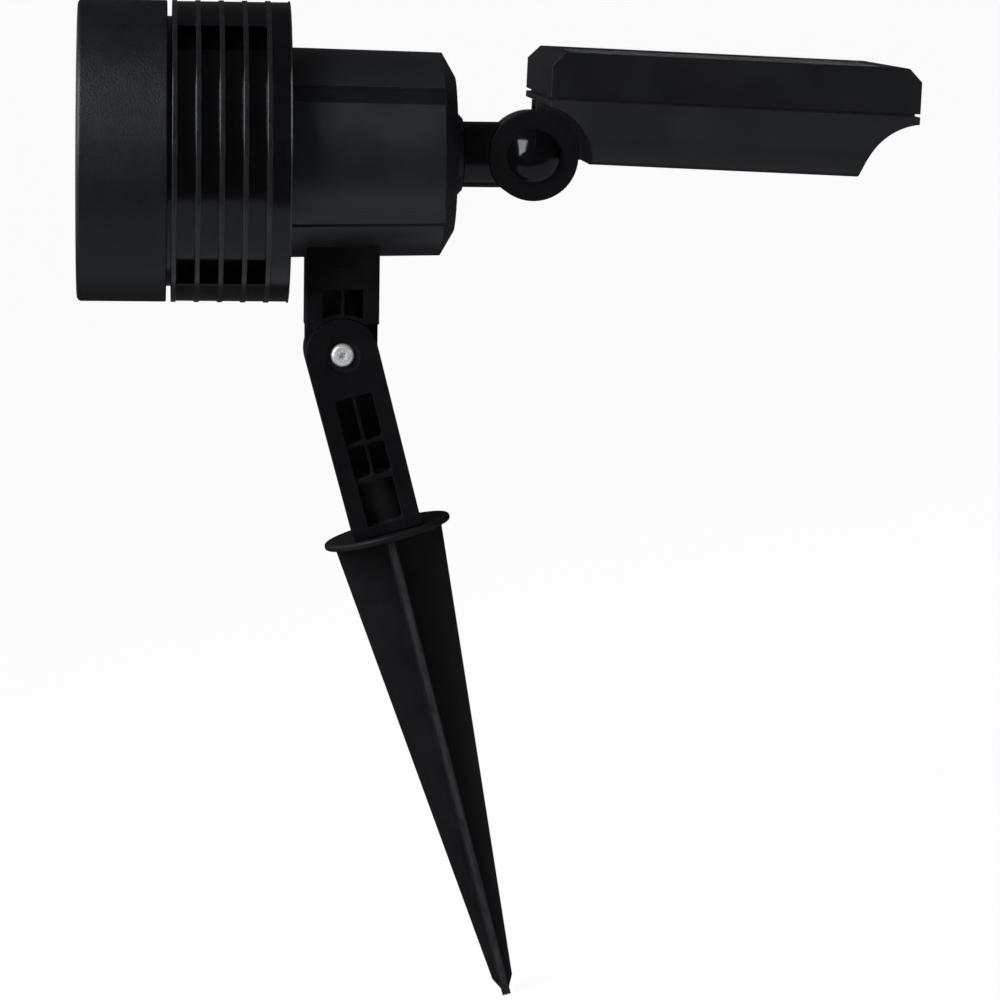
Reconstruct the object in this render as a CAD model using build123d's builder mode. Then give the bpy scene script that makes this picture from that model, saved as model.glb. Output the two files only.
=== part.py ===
from build123d import *
import os
from math import atan2, cos, degrees, radians, sin, sqrt

# Solar garden spotlight on a ground spike, in millimetres.
# World frame: the spike points straight down, +Z is up, and the origin is the centre of the
# flange's underside, which rests on the ground. The lamp shines towards -X and the solar
# panel hangs behind it, towards +X. The tilt axes lie along Y.

os.makedirs("parts", exist_ok=True)

# ---------------------------------------------------------------- rest pose
head_pitch = 15.0  # lamp axis above the horizontal at its front, degrees
panel_drop = 2.0  # panel's slope below the lamp axis at its far end, degrees

# ---------------------------------------------------------------- clearances
running_fit = 0.05  # radial play of a shaft in its bore
loose_fit = 0.15  # play of a fixed piece in its seat
face_play = 0.3  # gap between faces that turn past each other
overcut = 1.0  # how far a cut runs past the face that it opens
pan_rounding = 0.45  # rounded share of a pan head's height

# ---------------------------------------------------------------- ground spike
flange_radius = 22.4
flange_thickness = 2.4
flange_rounding = 1.0
blade_thickness = 3.0
blade_root_half = 19.0
blade_tip_half = 3.6
blade_length = 162.0
point_length = 7.0
post_radius = 7.6
post_height = 20.0
post_chamfer = 0.8

# ---------------------------------------------------------------- lower arm
pivot_height = 66.0
arm_depth = 34.0
ear_radius = 12.5
foot_half = 12.0
foot_band = 3.5
tongue_thickness = 14.0
slot_floor = 1.8
arm_web = 2.6
arm_pocket_half = 6.5
pocket_corner = 1.2
arm_rib = 1.1
rib_setback = 0.9
cross_rib_drop = 31.1
window_half = 6.2
mouth_chamfer = 0.6

# ---------------------------------------------------------------- tilt screw
tilt_shank = 2.0
tilt_head_radius = 4.0
tilt_head_height = 2.6
tilt_recess_radius = 6.0
tilt_recess_depth = 3.2
nut_flats = 7.0
nut_height = 3.2
nut_recess_depth = 5.0
washer_radius = 3.4
washer_thickness = 0.9

# ---------------------------------------------------------------- head bracket
bracket_rise = 32.5  # neck's underside above the tilt pivot
bracket_half = 12.4  # half width of the block and radius of the tongue
bracket_front_drop = 8.8  # height of the block's lower edge in front of the ears
bracket_rear_drop = 10.8  # and behind them, where the tilt brings it nearer to the arm
bracket_pocket_half = 7.0
bracket_pocket_top = 22.6
bracket_rim = 1.3
bracket_rib = 1.0
latch_mark_half = 4.0
latch_mark_height = 3.2
latch_mark_rise = 32.0
latch_mark_depth = 0.5
bracket_screw_spread = 13.0
bracket_screw_shank = 1.9
bracket_screw_head = 3.8
bracket_screw_head_height = 2.4
bracket_screw_length = 13.0

# ---------------------------------------------------------------- lamp head, stations along its axis
bezel_front = -90.9
bezel_length = 30.5
bezel_radius = 51.6
bezel_wall = 5.0
bezel_lip = 2.6
bezel_rounding = 1.6
bezel_back_rounding = 0.5
lip_cover = 3.2  # lip's reach inside the spigot's round
lip_bevel = 1.8
bezel_gap = 1.6
spigot_play = 0.4  # between the bezel's bore and the spigot
spigot_wall = 4.4
lens_thickness = 3.0
gasket_thickness = 1.2

fin_proud = 0.1  # fins' radius beyond the bezel's
fin_relief = 0.4
fin_thickness = 1.7
fin_pitch = 7.95
groove_count = 4
groove_depth = 6.1
pad_drop = 8.2  # the side grooves end this far inside the fins' round
body_length = 40.2
rear_wall = 6.9
rear_cone = 0.7

board_thickness = 1.6
shelf_thickness = 3.0
shelf_width = 8.3
lamp_depth = 12.6  # from the spigot's front to the lamp board
board_screw_count = 3
board_screw_turn = 90  # first screw straight above the axis
board_screw_inset = 4.8
board_screw_shank = 1.25
board_screw_head = 2.2
board_screw_head_height = 1.5
board_screw_length = 4.2

cup_ring_inset = 17.3  # middles of the outer cups inside the bore
cup_count = 6
cup_gap = 2.5  # between the mouths of two cups
cup_step = 3.4  # waist's radius inside the mouth's
cup_throat = 3.2
cup_upper_depth = 5.0
cup_wall = 0.9
reflector_plate = 1.4
reflector_skirt = 1.2
reflector_lift = 0.9
led_size = 3.5
led_base = 0.5
led_dome = 1.35
led_dome_rounding = 1.2

# ---------------------------------------------------------------- rear housing
neck_step = 15.6  # neck's radius inside the bezel's
neck_draft = 1.1
neck_wall = 3.4
neck_end = 33.6
neck_chamfer_length = 4.6
neck_chamfer_depth = 8.0
neck_back_wall = 3.4
neck_back_cone = 1.0
collar_radius = 14.4
collar_top_radius = 12.4
collar_height = 1.9
flange_margin = 0.8  # inner flange's play in the bore
neck_flange = 3.0
neck_gasket = 0.8
channel_start = 31.0
channel_angle = 11.0
channel_depth = 0.7
body_screw_count = 4
body_screw_turn = 45  # screws stand off the side, top and bottom
body_screw_shank = 1.5
body_screw_head = 2.8
body_screw_head_height = 2.0
body_screw_grip = 4.5

# ---------------------------------------------------------------- battery and electronics
cell_radius = 9.2
cell_length = 65.2
cell_spacing = 19.8
cell_gap = 2.4  # between the cells and the knuckle's tail
cell_end_rounding = 0.8
cell_button_radius = 3.1
cell_button_height = 1.0
cradle_front = -24.0
cradle_gap = 1.6  # between the cradle and the knuckle's tail
cradle_top = -1.0
cradle_slot_half = 8.5
cradle_floor = 3.1
upright_inner = 20.0
upright_width = 3.0
driver_height = 13.0
driver_length = 44.0
driver_margin = 2.0
coil_radius = 5.0
coil_height = 8.0
capacitor_radius = 3.2
capacitor_height = 11.0
chip_size = 7.0
chip_height = 1.4
lead_radius = 1.2
coil_place = (0.7, 0.3)  # shares of the driver board's length and half width
capacitor_place = (0.35, -0.3)
chip_place = (0.7, -0.4)

# ---------------------------------------------------------------- panel swivel and knuckle
stub_radius = 11.3
tail_radius = 8.0
swivel_ring_radius = 13.0
swivel_ring_thickness = 4.0
tail_overrun = 1.5
seal_groove_depth = 1.0
seal_groove_width = 1.9
lead_bore = 1.5
lead_bore_rise = 4.6
knuckle_station = 65.2
knuckle_radius = 15.4
disc_thickness = 9.4
ear_thickness = 4.5
friction_washer = 0.6
friction_washer_radius = 9.0
knuckle_shank = 2.5
knuckle_head = 4.6
knuckle_head_height = 3.0
knuckle_nut_flats = 8.0
knuckle_nut_height = 3.2
cap_radius = 9.1
cap_height = 5.6
cap_wall = 1.3
cap_rim = 1.0

# ---------------------------------------------------------------- solar panel, in the panel's own slope
panel_left = 1.3
panel_length = 124.6
panel_depth = 104.0
panel_top = 36.8
frame_height = 15.1
seam_gap = 1.0
seam_inset = 1.6
tray_bottom = -0.5
tray_wall = 3.0
tray_edge_rounding = 9.5
near_cove_radius = 18.4
near_cove_shift = -2.2
near_cove_rise = 0.5
far_cove_radius = 22.0
far_cove_overhang = 3.0
far_cove_drop = 3.1
frame_chamfer = 4.4
frame_rounding = 0.6
frame_border = 8.0
frame_wall = 3.0
window_thickness = 2.0
window_recess = 0.3
ledge_width = 3.0
ledge_thickness = 1.6
cell_thickness = 0.4
backing_thickness = 1.6
strip_columns = 2
strip_rows = 8
strip_gap = 0.8
screw_post_radius = 4.0
screw_post_near = 24.5
screw_post_far = 98.0
screw_post_side = 37.0
screw_post_web = 2.4
frame_screw_shank = 1.5
frame_screw_head = 3.0
frame_screw_head_height = 2.0
frame_screw_recess = 3.0
frame_screw_bite = 9.0
lead_hole = 2.5

# ---------------------------------------------------------------- push switch under the tray
switch_station = 84.0
button_radius = 4.6
button_travel = 1.5
button_sink = 0.4  # button face above the tray's bottom
button_flange_radius = 6.0
button_flange = 1.0
finger_recess_radius = 8.0
finger_recess_depth = 1.4
finger_recess_slope = 20  # degrees
switch_radius = 7.1
switch_height = 8.0
switch_wall = 1.6
switch_rim = 0.5
switch_seat_height = 9.0

# ---------------------------------------------------------------- derived places
pivot = Vector(0, 0, pivot_height)
arm_foot = flange_thickness + face_play
shoulder = ear_radius + face_play
slot_half = tongue_thickness / 2 + face_play
pocket_top = pivot_height - shoulder - slot_floor
cross_rib_height = pivot_height - cross_rib_drop
socket_top = flange_thickness + post_height + post_chamfer
window_top = flange_thickness + post_height - post_chamfer
tilt_bore = tilt_shank + running_fit

spigot_radius = bezel_radius - bezel_wall - spigot_play
lip_opening = spigot_radius - lip_cover
body_bore = spigot_radius - spigot_wall
fin_radius = bezel_radius + fin_proud
groove_floor = fin_radius - groove_depth
pad_height = fin_radius - pad_drop
shelf_opening = body_bore - shelf_width
board_screw_circle = body_bore - board_screw_inset
cup_circle = body_bore - cup_ring_inset
cup_mouth = (cup_circle - cup_gap) / 2
cup_waist = cup_mouth - cup_step
neck_radius = bezel_radius - neck_step
flange_reach = body_bore - flange_margin
head_rise = neck_radius + bracket_rise

bezel_back = bezel_front + bezel_length
body_front = bezel_back + bezel_gap
body_back = body_front + body_length
lens_front = bezel_front + bezel_lip
lens_back = lens_front + lens_thickness
spigot_front = lens_back + gasket_thickness
board_front = spigot_front + lamp_depth
shelf_front = board_front + board_thickness
rear_wall_front = body_back - rear_wall
neck_flange_back = rear_wall_front - neck_gasket
neck_flange_front = neck_flange_back - neck_flange
neck_bore = neck_radius - neck_wall
neck_back = neck_end + neck_chamfer_length
neck_inner_back = neck_back - neck_back_wall
body_screw_circle = (neck_radius + flange_reach) / 2
body_screw_length = neck_flange + neck_gasket + body_screw_grip

collar_back = neck_back + neck_back_cone + collar_height
stub_front = collar_back + face_play
ring_back = neck_inner_back - face_play
ring_front = ring_back - swivel_ring_thickness
tail_front = ring_front - tail_overrun
seal_station = (neck_inner_back + neck_back) / 2
cradle_length = tail_front - cradle_gap - cradle_front
cell_front = tail_front - cell_gap - cell_length
knuckle_clear = knuckle_radius + face_play
ear_inner = disc_thickness / 2 + face_play + friction_washer
ear_outer = ear_inner + ear_thickness

panel_right = panel_left + panel_length
frame_bottom = panel_top - frame_height
tray_top = frame_bottom - seam_gap
panel_half = panel_depth / 2
panel_middle = panel_left + panel_length / 2
far_cove_centre = panel_right + far_cove_overhang
opening_length = panel_length - 2 * frame_border
opening_depth = panel_depth - 2 * frame_border
window_bottom = panel_top - window_recess - window_thickness
ledge_bottom = window_bottom - ledge_thickness
cell_top = window_bottom
backing_top = cell_top - cell_thickness
backing_bottom = backing_top - backing_thickness
tray_floor = tray_bottom + tray_wall
frame_screw_seat = tray_bottom + frame_screw_recess
button_flange_bottom = tray_floor + face_play
button_flange_top = button_flange_bottom + button_flange
switch_bottom = button_flange_top + button_travel + face_play


# ---------------------------------------------------------------- working planes
def slope_plane(origin, slope):
    """Side view from the near side: x runs rearwards and falls by slope degrees, y points up."""
    fall = radians(slope)
    return Plane(origin=origin, x_dir=(cos(fall), 0, -sin(fall)), z_dir=(0, -1, 0))


def cross_plane(side, station, rise=0.0):
    """Plane square to a side view's x: its x points to the far side, its y up, its normal rearwards."""
    return Plane(origin=side.from_local_coords((station, rise, 0)), x_dir=(0, 1, 0), z_dir=side.x_dir)


def plan_plane(side, height):
    """Plane at a height in a side view: its x follows the slope, its y the far side, its normal up."""
    return Plane(origin=side.from_local_coords((0, height, 0)), x_dir=side.x_dir, z_dir=side.y_dir)


def neck_radius_at(station):
    """Outer radius of the drafted rear housing at a station of the lamp axis."""
    return neck_radius - neck_draft * (station - body_back) / (neck_end - body_back)


bracket_side = slope_plane(pivot, head_pitch)
head_side = slope_plane(bracket_side.from_local_coords((0, head_rise, 0)), head_pitch)
head_axis = Axis(head_side.origin, head_side.x_dir)
knuckle_centre = head_side.from_local_coords((knuckle_station, 0, 0))
panel_side = slope_plane(knuckle_centre, head_pitch + panel_drop)
panel_up = Axis(panel_side.origin, panel_side.y_dir)


# ================================================================ ground spike
with BuildPart() as ground_spike:
    with BuildSketch(Plane.XY):
        Circle(flange_radius)
    extrude(amount=flange_thickness)
    fillet(ground_spike.edges().filter_by(GeomType.CIRCLE), flange_rounding)
    # two crossed blades, each one tapering to a blunt point
    for blade_plane in (Plane.XZ, Plane.YZ):
        with BuildSketch(blade_plane):
            with BuildLine():
                Polyline(
                    (-blade_root_half, 0),
                    (blade_root_half, 0),
                    (blade_tip_half, -blade_length),
                    (0, -blade_length - point_length),
                    (-blade_tip_half, -blade_length),
                    close=True,
                )
            make_face()
        extrude(amount=blade_thickness / 2, both=True)
    # round post that the arm turns on
    with BuildSketch(Plane.XY.offset(flange_thickness)):
        Circle(post_radius)
    extrude(amount=post_height)
    chamfer(ground_spike.faces().sort_by(Axis.Z)[-1].edges(), post_chamfer)
ground_spike.part.label = "ground_spike"
export_step(ground_spike.part, "parts/ground_spike.step")

# ================================================================ lower arm
arm_cell_width = arm_pocket_half - arm_rib / 2
arm_cells = (
    (socket_top, cross_rib_height - arm_rib / 2),
    (cross_rib_height + arm_rib / 2, pocket_top),
)
with BuildPart() as lower_arm:
    with BuildSketch(Plane.XZ):
        with Locations((0, pivot_height)):
            Circle(ear_radius)
        with Locations((0, arm_foot)):
            Rectangle(2 * foot_half, foot_band, align=(Align.CENTER, Align.MIN))
        make_hull()
    extrude(amount=arm_depth / 2, both=True)
    # slot between the two ears, open to the top
    with BuildSketch(Plane.YZ):
        with Locations((0, pivot_height - shoulder)):
            Rectangle(2 * slot_half, shoulder + ear_radius, align=(Align.CENTER, Align.MIN))
    extrude(amount=ear_radius, both=True, mode=Mode.SUBTRACT)
    # open ribbed pockets in the near and far faces, either side of a middle web
    for facing in (1, -1):
        face_plane = Plane.XZ.offset(facing * arm_depth / 2)
        with BuildSketch(face_plane):
            with Locations((0, (pocket_top + window_top) / 2)):
                RectangleRounded(2 * arm_pocket_half, pocket_top - window_top, pocket_corner)
        extrude(amount=-facing * rib_setback, mode=Mode.SUBTRACT)
        with BuildSketch(face_plane):
            for low, high in arm_cells:
                with Locations((0, (low + high) / 2)):
                    with GridLocations(arm_cell_width + arm_rib, 1, 2, 1):
                        RectangleRounded(arm_cell_width, high - low, pocket_corner)
        extrude(amount=-facing * (arm_depth - arm_web) / 2, mode=Mode.SUBTRACT)
        # window through which the post shows, above a closed band at the foot
        with BuildSketch(face_plane):
            with Locations((0, arm_foot + foot_band)):
                Rectangle(
                    2 * window_half,
                    window_top - arm_foot - foot_band,
                    align=(Align.CENTER, Align.MIN),
                )
        extrude(amount=-facing * arm_depth / 2, mode=Mode.SUBTRACT)
    # round socket that turns on the spike's post
    with BuildSketch(Plane.XY.offset(arm_foot)):
        Circle(post_radius + running_fit)
    extrude(amount=socket_top - arm_foot, mode=Mode.SUBTRACT)
    socket_mouth = lower_arm.edges().filter_by(GeomType.CIRCLE).group_by(Axis.Z)[0]
    chamfer(socket_mouth, mouth_chamfer)
    # pivot bore with the screw's round recess near and the nut's hexagon far
    near_face = Plane(origin=(0, -arm_depth / 2, pivot_height), x_dir=(1, 0, 0), z_dir=(0, -1, 0))
    with Locations(near_face):
        CounterBoreHole(tilt_bore, tilt_recess_radius, tilt_recess_depth)
    with BuildSketch(Plane.XZ.offset(-arm_depth / 2)):
        with Locations((0, pivot_height)):
            RegularPolygon(nut_flats / 2 + loose_fit, 6, major_radius=False)
    extrude(amount=nut_recess_depth, mode=Mode.SUBTRACT)
lower_arm.part.label = "lower_arm"
export_step(lower_arm.part, "parts/lower_arm.step")

# ================================================================ tilt screw, lock washer and nut
tilt_head_seat = -arm_depth / 2 + tilt_recess_depth
nut_seat = arm_depth / 2 - nut_recess_depth
with BuildPart() as tilt_screw:
    with BuildSketch(Plane.XZ.offset(-tilt_head_seat)):
        with Locations((0, pivot_height)):
            Circle(tilt_head_radius)
    extrude(amount=tilt_head_height)
    fillet(tilt_screw.faces().sort_by(Axis.Y)[0].edges(), tilt_head_height * pan_rounding)
    with BuildSketch(Plane.XZ.offset(-tilt_head_seat)):
        with Locations((0, pivot_height)):
            Circle(tilt_shank)
    extrude(amount=-(nut_seat + washer_thickness + nut_height - tilt_head_seat))
tilt_screw.part.label = "tilt_screw"
export_step(tilt_screw.part, "parts/tilt_screw.step")

with BuildPart() as tilt_washer:
    with BuildSketch(Plane.XZ.offset(-nut_seat)):
        with Locations((0, pivot_height)):
            Circle(washer_radius)
            Circle(tilt_bore, mode=Mode.SUBTRACT)
    extrude(amount=-washer_thickness)
tilt_washer.part.label = "tilt_washer"
export_step(tilt_washer.part, "parts/tilt_washer.step")

with BuildPart() as tilt_nut:
    with BuildSketch(Plane.XZ.offset(-nut_seat - washer_thickness)):
        with Locations((0, pivot_height)):
            RegularPolygon(nut_flats / 2, 6, major_radius=False)
            Circle(tilt_shank, mode=Mode.SUBTRACT)
    extrude(amount=-nut_height)
tilt_nut.part.label = "tilt_nut"
export_step(tilt_nut.part, "parts/tilt_nut.step")

# ================================================================ head bracket
saddle_reach = head_rise - sqrt(neck_radius_at(-bracket_half) ** 2 - (arm_depth / 2) ** 2) + overcut
with BuildPart() as head_bracket:
    # tongue with its round end between the arm's ears
    with BuildSketch(bracket_side):
        Circle(bracket_half)
        Rectangle(2 * bracket_half, shoulder + overcut, align=(Align.CENTER, Align.MIN))
    extrude(amount=tongue_thickness / 2, both=True)
    # full-depth block up to the saddle, hollowed round the ears
    with BuildSketch(bracket_side):
        with Locations((0, bracket_front_drop)):
            Rectangle(bracket_half, saddle_reach - bracket_front_drop, align=(Align.MAX, Align.MIN))
        with Locations((0, bracket_rear_drop)):
            Rectangle(bracket_half, saddle_reach - bracket_rear_drop, align=(Align.MIN, Align.MIN))
        Circle(shoulder, mode=Mode.SUBTRACT)
    extrude(amount=arm_depth / 2, both=True)
    for facing in (1, -1):
        face_plane = bracket_side.offset(facing * arm_depth / 2)
        pocket_depth = (arm_depth - tongue_thickness) / 2
        # pocket above the ear's rim, with one middle rib
        with BuildSketch(face_plane):
            with Locations((0, shoulder)):
                Rectangle(
                    2 * bracket_pocket_half,
                    bracket_pocket_top - shoulder,
                    align=(Align.CENTER, Align.MIN),
                )
            Circle(shoulder + bracket_rim, mode=Mode.SUBTRACT)
            with Locations((0, shoulder)):
                Rectangle(
                    bracket_rib,
                    bracket_pocket_top - shoulder,
                    align=(Align.CENTER, Align.MIN),
                    mode=Mode.SUBTRACT,
                )
        extrude(amount=-facing * pocket_depth, mode=Mode.SUBTRACT)
        # shallow moulded mark under the saddle
        with BuildSketch(face_plane):
            with Locations((0, latch_mark_rise)):
                Rectangle(2 * latch_mark_half, latch_mark_height)
        extrude(amount=-facing * latch_mark_depth, mode=Mode.SUBTRACT)
    # saddle that seats on the drafted round of the rear housing
    saddle_end = bracket_half + overcut
    with BuildSketch(head_side):
        with BuildLine():
            Polyline(
                (-saddle_end, 0),
                (saddle_end, 0),
                (saddle_end, neck_radius_at(saddle_end)),
                (-saddle_end, neck_radius_at(-saddle_end)),
                close=True,
            )
        make_face()
    revolve(axis=head_axis, mode=Mode.SUBTRACT)
    # pivot bore and the pilot holes of the bracket's screws
    with BuildSketch(bracket_side):
        Circle(tilt_bore)
    extrude(amount=tongue_thickness, both=True, mode=Mode.SUBTRACT)
    with BuildSketch(plan_plane(head_side, -neck_bore)):
        with GridLocations(bracket_screw_spread, 1, 2, 1):
            Circle(bracket_screw_shank)
    extrude(amount=-bracket_screw_length, mode=Mode.SUBTRACT)
head_bracket.part.label = "head_bracket"
export_step(head_bracket.part, "parts/head_bracket.step")

# ================================================================ finned housing
with BuildPart() as groove_cutter:
    # the grooves between the fins, open only on the sides of the round
    with BuildSketch(head_side):
        for groove in range(groove_count):
            groove_start = body_front + fin_thickness + groove * fin_pitch
            with Locations((groove_start, groove_floor)):
                Rectangle(
                    fin_pitch - fin_thickness,
                    fin_radius - groove_floor + overcut,
                    align=(Align.MIN, Align.MIN),
                )
    revolve(axis=head_axis)
    with BuildSketch(head_side):
        with Locations(((body_front + body_back) / 2, 0)):
            Rectangle(2 * body_length, 2 * pad_height)
    extrude(amount=2 * fin_radius, both=True, mode=Mode.INTERSECT)

with BuildPart() as finned_housing:
    with BuildSketch(head_side):
        with BuildLine():
            Polyline(
                (spigot_front, body_bore),
                (spigot_front, spigot_radius),
                (body_front, spigot_radius),
                (body_front, fin_radius),
                (body_back, fin_radius),
                (body_back + rear_cone, neck_radius + loose_fit),
                (rear_wall_front, neck_radius + loose_fit),
                (rear_wall_front, body_bore),
                (shelf_front + shelf_thickness, body_bore),
                (shelf_front + shelf_thickness, shelf_opening),
                (shelf_front, shelf_opening),
                (shelf_front, body_bore),
                close=True,
            )
        make_face()
    revolve(axis=head_axis)
    # slight relief between the fins all round, so that the fins stand proud of the pads
    with BuildSketch(head_side):
        for groove in range(groove_count + 1):
            groove_start = body_front + fin_thickness + groove * fin_pitch
            groove_end = min(groove_start + fin_pitch - fin_thickness, body_back + rear_cone)
            with Locations((groove_start, fin_radius - fin_relief)):
                Rectangle(groove_end - groove_start, fin_relief + overcut, align=(Align.MIN, Align.MIN))
    revolve(axis=head_axis, mode=Mode.SUBTRACT)
    add(groove_cutter.part, mode=Mode.SUBTRACT)
    # pilot holes for the lamp board's screws in the shelf and the rear housing's screws
    with BuildSketch(cross_plane(head_side, shelf_front)):
        with PolarLocations(board_screw_circle, board_screw_count, board_screw_turn):
            Circle(board_screw_shank)
    extrude(amount=shelf_thickness, mode=Mode.SUBTRACT)
    with BuildSketch(cross_plane(head_side, rear_wall_front)):
        with PolarLocations(body_screw_circle, body_screw_count, body_screw_turn):
            Circle(body_screw_shank)
    extrude(amount=body_screw_grip, mode=Mode.SUBTRACT)
finned_housing.part.label = "finned_housing"
export_step(finned_housing.part, "parts/finned_housing.step")

# ================================================================ front bezel, lens and gasket
with BuildPart() as front_bezel:
    with BuildSketch(head_side):
        with BuildLine():
            Polyline(
                (bezel_front, lip_opening + lip_bevel),
                (bezel_front, bezel_radius),
                (bezel_back, bezel_radius),
                (bezel_back, bezel_radius - bezel_wall),
                (lens_front, bezel_radius - bezel_wall),
                (lens_front, lip_opening),
                (lens_front - bezel_lip / 2, lip_opening),
                close=True,
            )
        make_face()
    revolve(axis=head_axis)
    outer_rims = front_bezel.edges().filter_by(GeomType.CIRCLE).sort_by(SortBy.RADIUS)[-2:]
    fillet(outer_rims.sort_by(head_axis)[0], bezel_rounding)
    widest_rims = front_bezel.edges().filter_by(GeomType.CIRCLE).group_by(SortBy.RADIUS)[-1]
    fillet(widest_rims.sort_by(head_axis)[-1], bezel_back_rounding)
front_bezel.part.label = "front_bezel"
export_step(front_bezel.part, "parts/front_bezel.step")

lens_radius = bezel_radius - bezel_wall - loose_fit
with BuildPart() as front_lens:
    with BuildSketch(cross_plane(head_side, lens_front)):
        Circle(lens_radius)
    extrude(amount=lens_thickness)
front_lens.part.label = "front_lens"
export_step(front_lens.part, "parts/front_lens.step")

with BuildPart() as lens_gasket:
    with BuildSketch(cross_plane(head_side, lens_back)):
        Circle(spigot_radius - loose_fit)
        Circle(body_bore + loose_fit, mode=Mode.SUBTRACT)
    extrude(amount=gasket_thickness)
lens_gasket.part.label = "lens_gasket"
export_step(lens_gasket.part, "parts/lens_gasket.step")

# ================================================================ reflector, lamp board and emitters
reflector_front = spigot_front + loose_fit
reflector_radius = body_bore - loose_fit
cup_back = board_front - reflector_lift
cup_turn = reflector_front + cup_upper_depth
cup_lower_depth = cup_back - cup_turn
cup_upper_taper = degrees(atan2(cup_mouth - cup_waist, cup_upper_depth))
cup_lower_taper = degrees(atan2(cup_waist - cup_throat, cup_lower_depth))


def cup_sketch(station, radius):
    """Sketch the ring of cups and the middle one, all of one radius, square to the lamp axis."""
    with BuildSketch(cross_plane(head_side, station)) as cups:
        Circle(radius)
        with PolarLocations(cup_circle, cup_count):
            Circle(radius)
    return cups.sketch


with BuildPart() as reflector:
    with BuildSketch(cross_plane(head_side, reflector_front)):
        Circle(reflector_radius)
    extrude(amount=reflector_plate)
    with BuildSketch(cross_plane(head_side, reflector_front)):
        Circle(reflector_radius)
        Circle(reflector_radius - reflector_skirt, mode=Mode.SUBTRACT)
    extrude(amount=board_front - reflector_front)
    extrude(
        cup_sketch(reflector_front, cup_mouth + cup_wall),
        amount=cup_upper_depth,
        taper=cup_upper_taper,
    )
    extrude(cup_sketch(cup_turn, cup_waist + cup_wall), amount=cup_lower_depth, taper=cup_lower_taper)
    extrude(
        cup_sketch(reflector_front, cup_mouth),
        amount=cup_upper_depth,
        taper=cup_upper_taper,
        mode=Mode.SUBTRACT,
    )
    extrude(
        cup_sketch(cup_turn, cup_waist),
        amount=cup_lower_depth,
        taper=cup_lower_taper,
        mode=Mode.SUBTRACT,
    )
reflector.part.label = "reflector"
export_step(reflector.part, "parts/reflector.step")

with BuildPart() as lamp_board:
    with BuildSketch(cross_plane(head_side, board_front)):
        Circle(reflector_radius)
        with PolarLocations(board_screw_circle, board_screw_count, board_screw_turn):
            Circle(board_screw_shank + loose_fit, mode=Mode.SUBTRACT)
    extrude(amount=board_thickness)
lamp_board.part.label = "lamp_board"
export_step(lamp_board.part, "parts/lamp_board.step")

with BuildPart() as led_emitters:
    with BuildSketch(cross_plane(head_side, board_front)):
        Rectangle(led_size, led_size)
        with PolarLocations(cup_circle, cup_count):
            Rectangle(led_size, led_size)
    extrude(amount=-led_base)
    extrude(cup_sketch(board_front - led_base, led_dome), amount=-led_dome)
    dome_rims = led_emitters.edges().filter_by(GeomType.CIRCLE).group_by(head_axis)[0]
    fillet(dome_rims, led_dome_rounding)
led_emitters.part.label = "led_emitters"
export_step(led_emitters.part, "parts/led_emitters.step")

with BuildPart() as board_screws:
    with BuildSketch(cross_plane(head_side, board_front)):
        with PolarLocations(board_screw_circle, board_screw_count, board_screw_turn):
            Circle(board_screw_head)
    extrude(amount=-board_screw_head_height)
    with BuildSketch(cross_plane(head_side, board_front)):
        with PolarLocations(board_screw_circle, board_screw_count, board_screw_turn):
            Circle(board_screw_shank)
    extrude(amount=board_screw_length)
board_screws.part.label = "board_screws"
export_step(board_screws.part, "parts/board_screws.step")

# ================================================================ rear housing
channel_begin = body_back + rear_cone
with BuildPart() as channel_cutter:
    # two shallow channels along the near side, above and below a plain pad, and the same far
    for channel_top in (channel_start + channel_angle, -channel_start):
        lean = radians(channel_top)
        outward = head_side.y_dir * sin(lean) - Vector(0, 1, 0) * cos(lean)
        channel_plane = Plane(
            origin=head_side.origin,
            x_dir=head_side.x_dir,
            z_dir=head_side.x_dir.cross(outward),
        )
        with BuildSketch(channel_plane):
            with BuildLine():
                Polyline(
                    (channel_begin, neck_radius_at(channel_begin) - channel_depth),
                    (neck_back, neck_radius_at(neck_back) - channel_depth),
                    (neck_back, neck_radius + channel_depth),
                    (channel_begin, neck_radius + channel_depth),
                    close=True,
                )
            make_face()
        revolve(axis=head_axis, revolution_arc=channel_angle)
    mirror(about=Plane.XZ)

with BuildPart() as rear_housing:
    with BuildSketch(head_side):
        with BuildLine():
            Polyline(
                (neck_flange_front, neck_bore),
                (neck_flange_front, flange_reach),
                (neck_flange_back, flange_reach),
                (neck_flange_back, neck_radius),
                (body_back, neck_radius),
                (neck_end, neck_radius - neck_draft),
                (neck_back, neck_radius - neck_draft - neck_chamfer_depth),
                (neck_back + neck_back_cone, collar_radius),
                (collar_back, collar_top_radius),
                (collar_back, tail_radius + running_fit),
                (neck_inner_back, tail_radius + running_fit),
                (neck_inner_back, neck_radius - neck_draft - neck_chamfer_depth - neck_wall),
                (neck_end - neck_back_wall, neck_bore - neck_draft),
                (body_back, neck_bore),
                close=True,
            )
        make_face()
    revolve(axis=head_axis)
    add(channel_cutter.part, mode=Mode.SUBTRACT)
    # screw holes in the inner flange and through the belly to the bracket
    with BuildSketch(cross_plane(head_side, neck_flange_front)):
        with PolarLocations(body_screw_circle, body_screw_count, body_screw_turn):
            Circle(body_screw_shank + loose_fit)
    extrude(amount=neck_flange, mode=Mode.SUBTRACT)
    with BuildSketch(plan_plane(head_side, 0)):
        with GridLocations(bracket_screw_spread, 1, 2, 1):
            Circle(bracket_screw_shank + loose_fit)
    extrude(amount=-neck_radius, mode=Mode.SUBTRACT)
    with BuildSketch(plan_plane(head_side, 0)):
        with GridLocations(bracket_screw_spread, 1, 2, 1):
            Circle(bracket_screw_head + loose_fit)
    extrude(amount=-neck_bore, mode=Mode.SUBTRACT)
rear_housing.part.label = "rear_housing"
export_step(rear_housing.part, "parts/rear_housing.step")

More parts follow.
